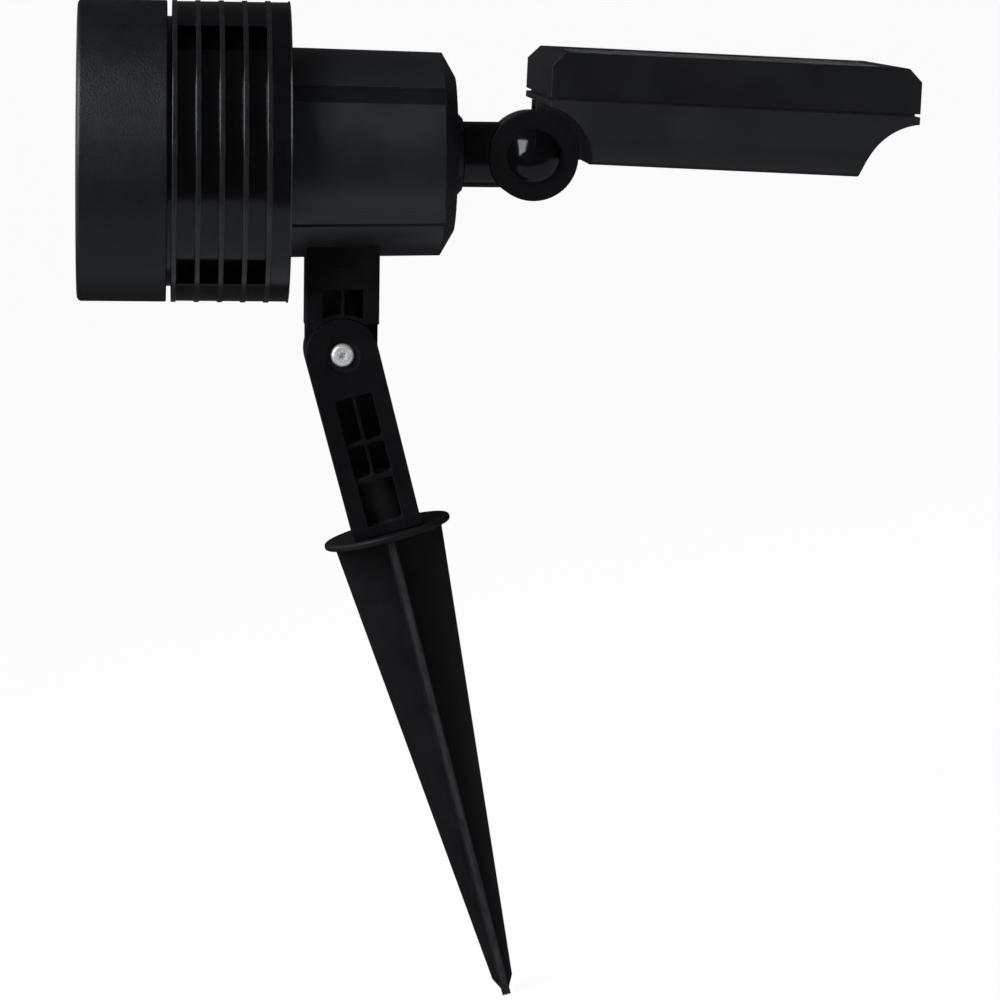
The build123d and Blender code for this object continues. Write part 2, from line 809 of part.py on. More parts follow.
with BuildPart() as housing_gasket:
    with BuildSketch(cross_plane(head_side, neck_flange_back)):
        Circle(flange_reach)
        Circle(neck_radius + loose_fit, mode=Mode.SUBTRACT)
        with PolarLocations(body_screw_circle, body_screw_count, body_screw_turn):
            Circle(body_screw_shank + loose_fit, mode=Mode.SUBTRACT)
    extrude(amount=neck_gasket)
housing_gasket.part.label = "housing_gasket"
export_step(housing_gasket.part, "parts/housing_gasket.step")

with BuildPart() as housing_screws:
    with BuildSketch(cross_plane(head_side, neck_flange_front)):
        with PolarLocations(body_screw_circle, body_screw_count, body_screw_turn):
            Circle(body_screw_head)
    extrude(amount=-body_screw_head_height)
    with BuildSketch(cross_plane(head_side, neck_flange_front)):
        with PolarLocations(body_screw_circle, body_screw_count, body_screw_turn):
            Circle(body_screw_shank)
    extrude(amount=body_screw_length)
housing_screws.part.label = "housing_screws"
export_step(housing_screws.part, "parts/housing_screws.step")

with BuildPart() as bracket_screws:
    with BuildSketch(plan_plane(head_side, -neck_bore)):
        with GridLocations(bracket_screw_spread, 1, 2, 1):
            Circle(bracket_screw_head)
    extrude(amount=bracket_screw_head_height)
    with BuildSketch(plan_plane(head_side, -neck_bore)):
        with GridLocations(bracket_screw_spread, 1, 2, 1):
            Circle(bracket_screw_shank)
    extrude(amount=-bracket_screw_length)
bracket_screws.part.label = "bracket_screws"
export_step(bracket_screws.part, "parts/bracket_screws.step")

# ================================================================ battery and driver
for cell_name, cell_side in (("battery_cell_near", -1), ("battery_cell_far", 1)):
    with BuildPart() as battery_cell:
        with BuildSketch(cross_plane(head_side, cell_front)):
            with Locations((cell_side * cell_spacing / 2, 0)):
                Circle(cell_radius)
        extrude(amount=cell_length)
        cell_ends = battery_cell.edges().filter_by(GeomType.CIRCLE)
        fillet(cell_ends, cell_end_rounding)
        with BuildSketch(cross_plane(head_side, cell_front)):
            with Locations((cell_side * cell_spacing / 2, 0)):
                Circle(cell_button_radius)
        extrude(amount=-cell_button_height)
    battery_cell.part.label = cell_name
    export_step(battery_cell.part, f"parts/{cell_name}.step")

cradle_radius = neck_bore - neck_draft - loose_fit
driver_half = sqrt(cradle_radius**2 - (driver_height + board_thickness) ** 2) - driver_margin
with BuildPart() as battery_cradle:
    with BuildSketch(cross_plane(head_side, cradle_front)):
        Circle(cradle_radius)
        with Locations((0, cradle_top)):
            Rectangle(2 * neck_radius, neck_radius, align=(Align.CENTER, Align.MIN), mode=Mode.SUBTRACT)
        for upright_side in (-1, 1):
            with Locations((upright_side * (upright_inner + upright_width / 2), cradle_top)):
                Rectangle(upright_width, driver_height - cradle_top, align=(Align.CENTER, Align.MIN))
        with Locations((-cell_spacing / 2, 0), (cell_spacing / 2, 0)):
            Circle(cell_radius + loose_fit, mode=Mode.SUBTRACT)
        # relief over the heads of the bracket's screws
        with Locations((0, -cradle_radius)):
            Rectangle(
                2 * cradle_slot_half,
                cradle_radius - cell_radius - cradle_floor,
                align=(Align.CENTER, Align.MIN),
                mode=Mode.SUBTRACT,
            )
    extrude(amount=cradle_length)
battery_cradle.part.label = "battery_cradle"
export_step(battery_cradle.part, "parts/battery_cradle.step")

driver_front = cradle_front + (cradle_length - driver_length) / 2
driver_plan = plan_plane(head_side, driver_height)
with BuildPart() as driver_board:
    with BuildSketch(driver_plan):
        with Locations((driver_front, 0)):
            Rectangle(driver_length, 2 * driver_half, align=(Align.MIN, Align.CENTER))
    extrude(amount=board_thickness)
driver_board.part.label = "driver_board"
export_step(driver_board.part, "parts/driver_board.step")

coil_centre, capacitor_centre, chip_centre = (
    (driver_front + along * driver_length, across * driver_half)
    for along, across in (coil_place, capacitor_place, chip_place)
)
with BuildPart() as driver_parts:
    parts_plane = plan_plane(head_side, driver_height + board_thickness)
    with BuildSketch(parts_plane):
        with Locations(coil_centre):
            Circle(coil_radius)
    extrude(amount=coil_height)
    with BuildSketch(parts_plane):
        with Locations(capacitor_centre):
            Circle(capacitor_radius)
    extrude(amount=capacitor_height)
    with BuildSketch(parts_plane):
        with Locations(chip_centre):
            Rectangle(chip_size, chip_size)
    extrude(amount=chip_height)
driver_parts.part.label = "driver_parts"
export_step(driver_parts.part, "parts/driver_parts.step")

# lead from the driver to the lamp board, clipped along the top of the cells
lead_low = driver_height + board_thickness + lead_radius
with BuildPart() as lamp_lead:
    with BuildLine(head_side) as lead_path:
        FilletPolyline(
            (driver_front + chip_size, lead_low),
            (driver_front - chip_size, lead_low),
            (shelf_front + 3 * shelf_thickness, lead_low / 2),
            (shelf_front, lead_low / 2),
            radius=chip_size,
        )
    with BuildSketch(Plane(origin=lead_path.line @ 0, z_dir=lead_path.line % 0)):
        Circle(lead_radius)
    sweep()
lamp_lead.part.label = "lamp_lead"
export_step(lamp_lead.part, "parts/lamp_lead.step")

# ================================================================ panel swivel and knuckle
with BuildPart() as knuckle_stub:
    with BuildSketch(cross_plane(head_side, stub_front)):
        Circle(stub_radius)
    extrude(amount=knuckle_station - stub_front)
    # the round is hollowed beside the tongue, where the ears turn
    for facing in (1, -1):
        with BuildSketch(head_side.offset(facing * disc_thickness / 2)):
            with Locations((knuckle_station, 0)):
                Circle(knuckle_clear)
        extrude(amount=facing * stub_radius, mode=Mode.SUBTRACT)
    with BuildSketch(head_side):
        with Locations((knuckle_station, 0)):
            Circle(knuckle_radius)
    extrude(amount=disc_thickness / 2, both=True)
    # tail through the rear housing's wall, with its seal groove
    with BuildSketch(cross_plane(head_side, tail_front)):
        Circle(tail_radius)
    extrude(amount=stub_front - tail_front)
    with BuildSketch(cross_plane(head_side, seal_station - seal_groove_width / 2)):
        Circle(tail_radius + overcut)
        Circle(tail_radius - seal_groove_depth, mode=Mode.SUBTRACT)
    extrude(amount=seal_groove_width, mode=Mode.SUBTRACT)
    # bore for the panel's lead, above the knuckle bolt's bore
    with BuildSketch(cross_plane(head_side, tail_front)):
        with Locations((0, lead_bore_rise)):
            Circle(lead_bore)
    extrude(amount=knuckle_station + knuckle_radius - tail_front, mode=Mode.SUBTRACT)
    with BuildSketch(head_side):
        with Locations((knuckle_station, 0)):
            Circle(knuckle_shank + running_fit)
    extrude(amount=disc_thickness, both=True, mode=Mode.SUBTRACT)
knuckle_stub.part.label = "knuckle_stub"
export_step(knuckle_stub.part, "parts/knuckle_stub.step")

with BuildPart() as swivel_ring:
    with BuildSketch(cross_plane(head_side, ring_front)):
        RegularPolygon(swivel_ring_radius, 6)
        Circle(tail_radius + running_fit, mode=Mode.SUBTRACT)
    extrude(amount=swivel_ring_thickness)
swivel_ring.part.label = "swivel_ring"
export_step(swivel_ring.part, "parts/swivel_ring.step")

with BuildPart() as swivel_seal:
    with BuildSketch(head_side):
        with Locations((seal_station, tail_radius - seal_groove_depth / 2)):
            Circle(seal_groove_depth / 2)
    revolve(axis=head_axis)
swivel_seal.part.label = "swivel_seal"
export_step(swivel_seal.part, "parts/swivel_seal.step")

# ================================================================ solar panel tray
near_cove = (near_cove_shift, near_cove_rise)
far_cove = (far_cove_centre, tray_bottom - far_cove_drop)
screw_posts = [
    (station, side * screw_post_side) for station in (screw_post_near, screw_post_far) for side in (-1, 1)
]


def tray_solid(inset):
    """Block with rounded long bottom edges, hollowed by a cove at each end, inset from the outside."""
    with BuildPart() as block:
        with BuildSketch(cross_plane(panel_side, panel_left + inset)) as section:
            with Locations((0, tray_bottom + inset)):
                Rectangle(
                    panel_depth - 2 * inset,
                    tray_top - tray_bottom,
                    align=(Align.CENTER, Align.MIN),
                )
            fillet(section.vertices().group_by(Axis.Y)[0], tray_edge_rounding - inset)
        extrude(amount=panel_length - 2 * inset)
        with BuildSketch(panel_side):
            with Locations(near_cove):
                Circle(near_cove_radius + inset)
            with Locations(far_cove):
                Circle(far_cove_radius + inset)
        extrude(amount=panel_depth, both=True, mode=Mode.SUBTRACT)
    return block.part


tray_outside = tray_solid(0)
tray_inside = tray_solid(tray_wall)

with BuildPart() as panel_tray:
    add(tray_outside)
    add(tray_inside, mode=Mode.SUBTRACT)
    # two ears, each a disc round the knuckle bolt that runs into the near cove
    for facing in (1, -1):
        with BuildSketch(panel_side.offset(facing * ear_inner)):
            with Locations(near_cove):
                Circle(near_cove_radius + tray_wall / 2)
            with Locations((0, tray_bottom)):
                Rectangle(
                    2 * near_cove_radius,
                    near_cove_rise + near_cove_radius - tray_bottom,
                    align=(Align.MIN, Align.MIN),
                    mode=Mode.INTERSECT,
                )
            Circle(knuckle_radius)
        extrude(amount=facing * ear_thickness)
    with BuildSketch(panel_side):
        Circle(knuckle_shank + running_fit)
    extrude(amount=ear_outer, both=True, mode=Mode.SUBTRACT)
    # hole in the cove for the lead, between the ears
    with BuildSketch(cross_plane(panel_side, knuckle_radius / 2)):
        with Locations((0, lead_bore_rise)):
            Circle(lead_hole)
    extrude(amount=knuckle_radius, mode=Mode.SUBTRACT)
    # posts for the frame's screws, counterbored from below
    with BuildSketch(plan_plane(panel_side, tray_bottom + tray_wall / 2)):
        with Locations(*screw_posts):
            Circle(screw_post_radius)
    extrude(amount=tray_top - tray_bottom - tray_wall / 2)
    with Locations(*[
        Plane(origin=panel_side.from_local_coords((station, tray_bottom, side)), z_dir=-panel_side.y_dir)
        for station, side in screw_posts
    ]):
        CounterBoreHole(
            frame_screw_shank + loose_fit,
            frame_screw_head + loose_fit,
            frame_screw_recess,
        )
    # round seat of the push switch, its button's bore and the finger recess round it
    with BuildSketch(plan_plane(panel_side, tray_bottom + tray_wall / 2)):
        with Locations((switch_station, 0)):
            Circle(switch_radius + loose_fit + switch_wall)
    extrude(amount=tray_wall / 2 + switch_seat_height)
    with BuildSketch(plan_plane(panel_side, tray_floor)):
        with Locations((switch_station, 0)):
            Circle(switch_radius + loose_fit)
    extrude(amount=switch_seat_height, mode=Mode.SUBTRACT)
    with BuildSketch(plan_plane(panel_side, tray_bottom)):
        with Locations((switch_station, 0)):
            Circle(finger_recess_radius)
    extrude(amount=finger_recess_depth, taper=finger_recess_slope, mode=Mode.SUBTRACT)
    with BuildSketch(plan_plane(panel_side, tray_bottom)):
        with Locations((switch_station, 0)):
            Circle(button_radius + running_fit)
    extrude(amount=tray_wall, mode=Mode.SUBTRACT)
panel_tray.part.label = "panel_tray"
export_step(panel_tray.part, "parts/panel_tray.step")

# ================================================================ solar panel frame
with BuildPart() as panel_frame:
    with BuildSketch(panel_side):
        with Locations((panel_middle, frame_bottom)):
            Rectangle(panel_length, frame_height, align=(Align.CENTER, Align.MIN))
    extrude(amount=panel_half, both=True)
    top_edges = panel_frame.faces().sort_by(panel_up)[-1].edges()
    end_edges = top_edges.filter_by(Axis.Y)
    chamfer(end_edges, frame_chamfer)
    top_edges = panel_frame.faces().sort_by(panel_up)[-1].edges()
    long_edges = top_edges.filter_by(Axis((0, 0, 0), panel_side.x_dir))
    fillet(long_edges, frame_rounding)
    # open underside, then the window's opening with its rebate
    with BuildSketch(plan_plane(panel_side, frame_bottom)):
        with Locations((panel_middle, 0)):
            Rectangle(panel_length - 2 * frame_wall, panel_depth - 2 * frame_wall)
    extrude(amount=ledge_bottom - frame_bottom, mode=Mode.SUBTRACT)
    with BuildSketch(plan_plane(panel_side, ledge_bottom)):
        with Locations((panel_middle, 0)):
            Rectangle(opening_length - 2 * ledge_width, opening_depth - 2 * ledge_width)
    extrude(amount=ledge_thickness, mode=Mode.SUBTRACT)
    with BuildSketch(plan_plane(panel_side, window_bottom)):
        with Locations((panel_middle, 0)):
            Rectangle(opening_length, opening_depth)
    extrude(amount=window_thickness + window_recess, mode=Mode.SUBTRACT)
    # screw posts under the cells, each one braced to the side wall
    with BuildSketch(plan_plane(panel_side, tray_top)):
        with Locations(*screw_posts):
            Circle(screw_post_radius)
            Circle(frame_screw_shank, mode=Mode.SUBTRACT)
    extrude(amount=backing_bottom - tray_top)
    brace_reach = panel_half - frame_wall / 2 - screw_post_side - frame_screw_shank
    with BuildSketch(plan_plane(panel_side, frame_bottom)):
        for station, side in screw_posts:
            away = 1 if side > 0 else -1
            with Locations((station, side + away * (frame_screw_shank + brace_reach / 2))):
                Rectangle(screw_post_web, brace_reach)
    extrude(amount=backing_bottom - frame_bottom)
panel_frame.part.label = "panel_frame"
export_step(panel_frame.part, "parts/panel_frame.step")

# ================================================================ panel gasket, window, cells and backing
with BuildPart() as panel_gasket:
    with BuildSketch(plan_plane(panel_side, tray_top)):
        with Locations((panel_middle, 0)):
            Rectangle(panel_length - 2 * seam_inset, panel_depth - 2 * seam_inset)
            Rectangle(
                panel_length - 2 * frame_wall,
                panel_depth - 2 * frame_wall,
                mode=Mode.SUBTRACT,
            )
    extrude(amount=seam_gap)
panel_gasket.part.label = "panel_gasket"
export_step(panel_gasket.part, "parts/panel_gasket.step")

with BuildPart() as panel_window:
    with BuildSketch(plan_plane(panel_side, window_bottom)):
        with Locations((panel_middle, 0)):
            Rectangle(opening_length - 2 * loose_fit, opening_depth - 2 * loose_fit)
    extrude(amount=window_thickness)
panel_window.part.label = "panel_window"
export_step(panel_window.part, "parts/panel_window.step")

backing_length = opening_length - 2 * (ledge_width + loose_fit)
backing_depth = opening_depth - 2 * (ledge_width + loose_fit)
strip_pitch = (backing_length - strip_gap) / strip_rows
strip_span = (backing_depth - strip_gap) / strip_columns
with BuildPart() as solar_cells:
    with BuildSketch(plan_plane(panel_side, cell_top)):
        with Locations((panel_middle, 0)):
            with GridLocations(strip_pitch, strip_span, strip_rows, strip_columns):
                Rectangle(strip_pitch - strip_gap, strip_span - strip_gap)
    extrude(amount=-cell_thickness)
solar_cells.part.label = "solar_cells"
export_step(solar_cells.part, "parts/solar_cells.step")

with BuildPart() as cell_backing:
    with BuildSketch(plan_plane(panel_side, backing_top)):
        with Locations((panel_middle, 0)):
            Rectangle(backing_length, backing_depth)
    extrude(amount=-backing_thickness)
cell_backing.part.label = "cell_backing"
export_step(cell_backing.part, "parts/cell_backing.step")

with BuildPart() as panel_screws:
    with BuildSketch(plan_plane(panel_side, frame_screw_seat)):
        with Locations(*screw_posts):
            Circle(frame_screw_head)
    extrude(amount=-frame_screw_head_height)
    with BuildSketch(plan_plane(panel_side, frame_screw_seat)):
        with Locations(*screw_posts):
            Circle(frame_screw_shank)
    extrude(amount=tray_top + frame_screw_bite - frame_screw_seat)
panel_screws.part.label = "panel_screws"
export_step(panel_screws.part, "parts/panel_screws.step")

# ================================================================ knuckle bolt, nut, washers and caps
with BuildPart() as knuckle_bolt:
    with BuildSketch(panel_side.offset(ear_outer)):
        Circle(knuckle_head)
    extrude(amount=knuckle_head_height)
    fillet(knuckle_bolt.faces().sort_by(Axis.Y)[0].edges(), knuckle_head_height * pan_rounding)
    with BuildSketch(panel_side.offset(ear_outer)):
        Circle(knuckle_shank)
    extrude(amount=-2 * ear_outer - knuckle_nut_height)
knuckle_bolt.part.label = "knuckle_bolt"
export_step(knuckle_bolt.part, "parts/knuckle_bolt.step")

with BuildPart() as knuckle_nut:
    with BuildSketch(panel_side.offset(-ear_outer)):
        RegularPolygon(knuckle_nut_flats / 2, 6, major_radius=False)
        Circle(knuckle_shank, mode=Mode.SUBTRACT)
    extrude(amount=-knuckle_nut_height)
knuckle_nut.part.label = "knuckle_nut"
export_step(knuckle_nut.part, "parts/knuckle_nut.step")

with BuildPart() as knuckle_washers:
    for facing in (1, -1):
        with BuildSketch(panel_side.offset(facing * ear_inner)):
            Circle(friction_washer_radius)
            Circle(knuckle_shank + running_fit, mode=Mode.SUBTRACT)
        extrude(amount=-facing * friction_washer)
knuckle_washers.part.label = "knuckle_washers"
export_step(knuckle_washers.part, "parts/knuckle_washers.step")

for cap_name, outward in (("knuckle_cap_near", Vector(0, -1, 0)), ("knuckle_cap_far", Vector(0, 1, 0))):
    cap_plane = Plane(
        origin=knuckle_centre + outward * ear_outer,
        x_dir=panel_side.x_dir,
        z_dir=panel_side.x_dir.cross(outward),
    )
    with BuildPart() as knuckle_cap:
        with BuildSketch(cap_plane):
            for radius, rim, height, mode in (
                (cap_radius, cap_rim, cap_height, Mode.ADD),
                (cap_radius - cap_wall, cap_rim / 2, cap_height - cap_wall, Mode.SUBTRACT),
            ):
                with BuildLine():
                    rim_line = Polyline((0, height), (0, 0), (radius, 0), (radius, rim))
                    dome_radius = (radius**2 + (height - rim) ** 2) / (2 * (height - rim))
                    RadiusArc(rim_line @ 1, rim_line @ 0, -dome_radius)
                make_face(mode=mode)
        revolve(axis=Axis(knuckle_centre, (0, 1, 0)))
    knuckle_cap.part.label = cap_name
    export_step(knuckle_cap.part, f"parts/{cap_name}.step")

# ================================================================ push switch
with BuildPart() as push_switch:
    with BuildSketch(plan_plane(panel_side, switch_bottom)):
        with Locations((switch_station, 0)):
            Circle(switch_radius)
    extrude(amount=switch_height)
    switch_rims = push_switch.edges().filter_by(GeomType.CIRCLE)
    chamfer(switch_rims, switch_rim)
push_switch.part.label = "push_switch"
export_step(push_switch.part, "parts/push_switch.step")

with BuildPart() as switch_seal:
    with BuildSketch(plan_plane(panel_side, tray_floor)):
        with Locations((switch_station, 0)):
            Circle(switch_radius)
            Circle(button_flange_radius + face_play, mode=Mode.SUBTRACT)
    extrude(amount=switch_bottom - tray_floor)
switch_seal.part.label = "switch_seal"
export_step(switch_seal.part, "parts/switch_seal.step")

with BuildPart() as switch_button:
    with BuildSketch(plan_plane(panel_side, tray_bottom + button_sink)):
        with Locations((switch_station, 0)):
            Circle(button_radius)
    extrude(amount=button_flange_bottom - tray_bottom - button_sink)
    fillet(switch_button.edges().filter_by(GeomType.CIRCLE).group_by(panel_up)[0], button_sink)
    with BuildSketch(plan_plane(panel_side, button_flange_bottom)):
        with Locations((switch_station, 0)):
            Circle(button_flange_radius)
    extrude(amount=button_flange)
switch_button.part.label = "switch_button"
export_step(switch_button.part, "parts/switch_button.step")
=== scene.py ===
"""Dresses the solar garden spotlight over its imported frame.

It adds the finishes, the fine parts, the studio and the camera.

Sizes are in metres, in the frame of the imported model. The spike points straight down, the lamp
shines towards -X, the solar panel hangs behind it towards +X, and the tilt axes lie along Y.
"""

import logging
import math
from collections.abc import Callable, Sequence
from dataclasses import dataclass, field
from enum import Enum
from typing import NamedTuple

import bmesh
import bpy
from mathutils import Matrix, Vector


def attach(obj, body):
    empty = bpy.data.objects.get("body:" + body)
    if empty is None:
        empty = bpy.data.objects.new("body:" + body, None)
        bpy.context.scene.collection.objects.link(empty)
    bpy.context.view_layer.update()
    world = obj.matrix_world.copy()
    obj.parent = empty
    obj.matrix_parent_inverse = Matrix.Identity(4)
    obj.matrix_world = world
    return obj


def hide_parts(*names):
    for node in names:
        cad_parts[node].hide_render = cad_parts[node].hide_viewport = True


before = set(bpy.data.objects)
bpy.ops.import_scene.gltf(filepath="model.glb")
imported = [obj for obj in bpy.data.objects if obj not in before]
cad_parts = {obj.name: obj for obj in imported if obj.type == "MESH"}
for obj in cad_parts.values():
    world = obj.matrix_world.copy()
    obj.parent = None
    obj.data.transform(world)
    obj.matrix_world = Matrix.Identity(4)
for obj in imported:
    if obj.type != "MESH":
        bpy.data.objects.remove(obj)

Triple = tuple[float, float, float]
Colour = Triple
Socket = bpy.types.NodeSocket
Piece = bpy.types.Object
log = logging.getLogger("spotlight")

MM = 0.001


# ---------------------------------------------------------------- working axes
@dataclass(frozen=True)
class Axes:
    """A sloped side view of the object: an origin, its run rearwards and its rise.

    Attributes:
        origin: where the axes start.
        slope: fall of the run towards the rear, in degrees.
    """

    origin: Triple
    slope: float

    def matrix(self) -> Matrix:
        """Returns the placement whose x runs rearwards, y to the far side and z up."""
        return Matrix.Translation(self.origin) @ Matrix.Rotation(math.radians(self.slope), 4, "Y")


LAMP_AXES = Axes(origin=(0.0177291, 0.0, 0.1321659), slope=15.0)
PANEL_AXES = Axes(origin=(0.0807075, 0.0, 0.1152909), slope=17.0)
UPRIGHT_AXES = Axes(origin=(0.0, 0.0, 0.0), slope=0.0)


# ---------------------------------------------------------------- modelling by hand
FACING = 0.9  # the least share of a face's normal along the direction that it faces
SLACK = 0.01  # how far off its line a floor edge may lie and still be picked


class Combine(Enum):
    """What one closed piece does to another."""

    JOIN = "UNION"
    CUT = "DIFFERENCE"


class Pick(Enum):
    """What edit mode selects."""

    CORNERS = "VERT"
    EDGES = "EDGE"
    FACES = "FACE"


def faces_up(centre: Vector, normal: Vector) -> bool:
    """Tells whether a face looks up."""
    return normal.z > FACING


def faces_down(centre: Vector, normal: Vector) -> bool:
    """Tells whether a face looks down."""
    return normal.z < -FACING


class Bench:
    """Holds the moves that every new piece is modelled with."""

    @staticmethod
    def clear() -> None:
        """Leaves edit mode and deselects everything."""
        if bpy.context.object is not None and bpy.context.object.mode != "OBJECT":
            bpy.ops.object.mode_set(mode="OBJECT")
        bpy.ops.object.select_all(action="DESELECT")

    @staticmethod
    def hold(*pieces: Piece) -> None:
        """Selects only these pieces and makes the first one active.

        Args:
            pieces: the pieces that are selected.
        """
        Bench.clear()
        for piece in pieces:
            piece.select_set(True)
        bpy.context.view_layer.objects.active = pieces[0]

    @staticmethod
    def take(name: str) -> Piece:
        """Names the piece that was just added and returns it.

        Args:
            name: the piece's plain name.

        Returns:
            The active object, alone in the selection.
        """
        piece = bpy.context.object
        piece.name = name
        piece.data.name = name
        Bench.hold(piece)
        return piece

    @staticmethod
    def edit(piece: Piece, pick: Pick = Pick.FACES) -> None:
        """Opens the piece in edit mode with nothing selected.

        Args:
            piece: the piece to shape.
            pick: what is going to be selected.
        """
        Bench.hold(piece)
        bpy.ops.object.mode_set(mode="EDIT")
        bpy.ops.mesh.select_mode(type=pick.value)
        bpy.ops.mesh.select_all(action="DESELECT")

    @staticmethod
    def faces(piece: Piece, wanted: Callable[[Vector, Vector], bool]) -> None:
        """Selects the faces that are wanted, and nothing else.

        Args:
            piece: the piece in edit mode.
            wanted: takes a face's centre and normal.
        """
        mesh = bmesh.from_edit_mesh(piece.data)
        for face in mesh.faces:
            face.select_set(False)
        chosen = [f for f in mesh.faces if wanted(f.calc_center_median(), f.normal)]
        for face in chosen:
            face.select_set(True)
        mesh.select_flush_mode()
        bmesh.update_edit_mesh(piece.data)

    @staticmethod
    def edges(piece: Piece, wanted: Callable[[Vector, Vector], bool]) -> None:
        """Selects the edges that are wanted, and nothing else.

        Args:
            piece: the piece in edit mode.
            wanted: takes an edge's two ends.
        """
        mesh = bmesh.from_edit_mesh(piece.data)
        for edge in mesh.edges:
            edge.select_set(False)
        chosen = [e for e in mesh.edges if wanted(e.verts[0].co, e.verts[1].co)]
        for edge in chosen:
            edge.select_set(True)
        bmesh.update_edit_mesh(piece.data)

    @staticmethod
    def done() -> None:
        """Closes edit mode with outward faces."""
        bpy.ops.mesh.select_all(action="SELECT")
        bpy.ops.mesh.normals_make_consistent(inside=False)
        bpy.ops.object.mode_set(mode="OBJECT")

    @staticmethod
    def place() -> None:
        """Writes the held piece's place, turn and size into its mesh."""
        bpy.ops.object.transform_apply(location=True, rotation=True, scale=True)

    @staticmethod
    def combine(piece: Piece, other: Piece, way: Combine) -> None:
        """Joins another piece to this one or cuts it out, and throws the other away.

        Args:
            piece: the piece that is changed.
            other: the closed piece that is joined to it or cut out of it.
            way: which of the two.
        """
        Bench.hold(piece)
        change = piece.modifiers.new(way.name.lower(), "BOOLEAN")
        change.operation = way.value
        change.solver = "EXACT"
        change.object = other
        bpy.ops.object.modifier_apply(modifier=change.name)
        bpy.data.objects.remove(other, do_unlink=True)

    @staticmethod
    def soften(piece: Piece, width: float, segments: int, angle: float) -> None:
        """Rounds a piece's sharp edges and shades it smooth.

        Args:
            piece: the piece.
            width: the rounding's width.
            segments: facets across the rounding.
            angle: the least angle of an edge that is rounded, in degrees.
        """
        Bench.hold(piece)
        rounding = piece.modifiers.new("rounding", "BEVEL")
        rounding.width = width
        rounding.segments = segments
        rounding.limit_method = "ANGLE"
        rounding.angle_limit = math.radians(angle)
        rounding.use_clamp_overlap = True
        bpy.ops.object.modifier_apply(modifier=rounding.name)
        bpy.ops.object.shade_smooth_by_angle(angle=math.radians(angle))

    @staticmethod
    def settle(piece: Piece, place: Matrix) -> Piece:
        """Puts a piece in its place and brings its object back to the origin.

        Args:
            piece: the piece, modelled at the origin.
            place: where it goes.

        Returns:
            The same piece.
        """
        Bench.hold(piece)
        piece.matrix_world = place
        Bench.place()
        return piece

    @staticmethod
    def repeat(piece: Piece, places: Sequence[Matrix], name: str) -> Piece:
        """Sets copies of a piece at every place and joins them.

        Args:
            piece: the piece that is copied; it takes the first place itself.
            places: one placement for each.
            name: the joined piece's name.

        Returns:
            The joined piece.
        """
        copies = []
        for place in places[1:]:
            Bench.hold(piece)
            bpy.ops.object.duplicate(linked=False)
            copies.append(Bench.settle(bpy.context.object, place))
        Bench.settle(piece, places[0])
        Bench.hold(piece, *copies)
        if copies:
            bpy.ops.object.join()
        return Bench.take(name)

    @staticmethod
    def wear(piece: Piece, material: bpy.types.Material) -> None:
        """Gives the whole piece one material."""
        piece.data.materials.clear()
        piece.data.materials.append(material)


# ---------------------------------------------------------------- material patterns
SEEN_RAYS = ("Is Camera Ray", "Is Glossy Ray", "Is Transmission Ray")
MIX_INPUTS = (0, 6, 7)  # where a colour mix has its amount and its two colours
MIX_OUTPUT = 2  # where it has the mixed colour
EDGE_BEND = (0.985, 0.86)  # from flat to a full edge, as the rounded normal's share of the face's


class Sum(Enum):
    """The sums that a pattern does."""

    ABSOLUTE = "ABSOLUTE"
    ADD = "ADD"
    ARCTAN2 = "ARCTAN2"
    DIVIDE = "DIVIDE"
    FRACT = "FRACT"
    MAXIMUM = "MAXIMUM"
    MINIMUM = "MINIMUM"
    MULTIPLY = "MULTIPLY"
    MULTIPLY_ADD = "MULTIPLY_ADD"
    SNAP = "SNAP"
    SQRT = "SQRT"
    SUBTRACT = "SUBTRACT"


class Parts(NamedTuple):
    """The three measures of a place."""

    run: Socket
    side: Socket
    rise: Socket


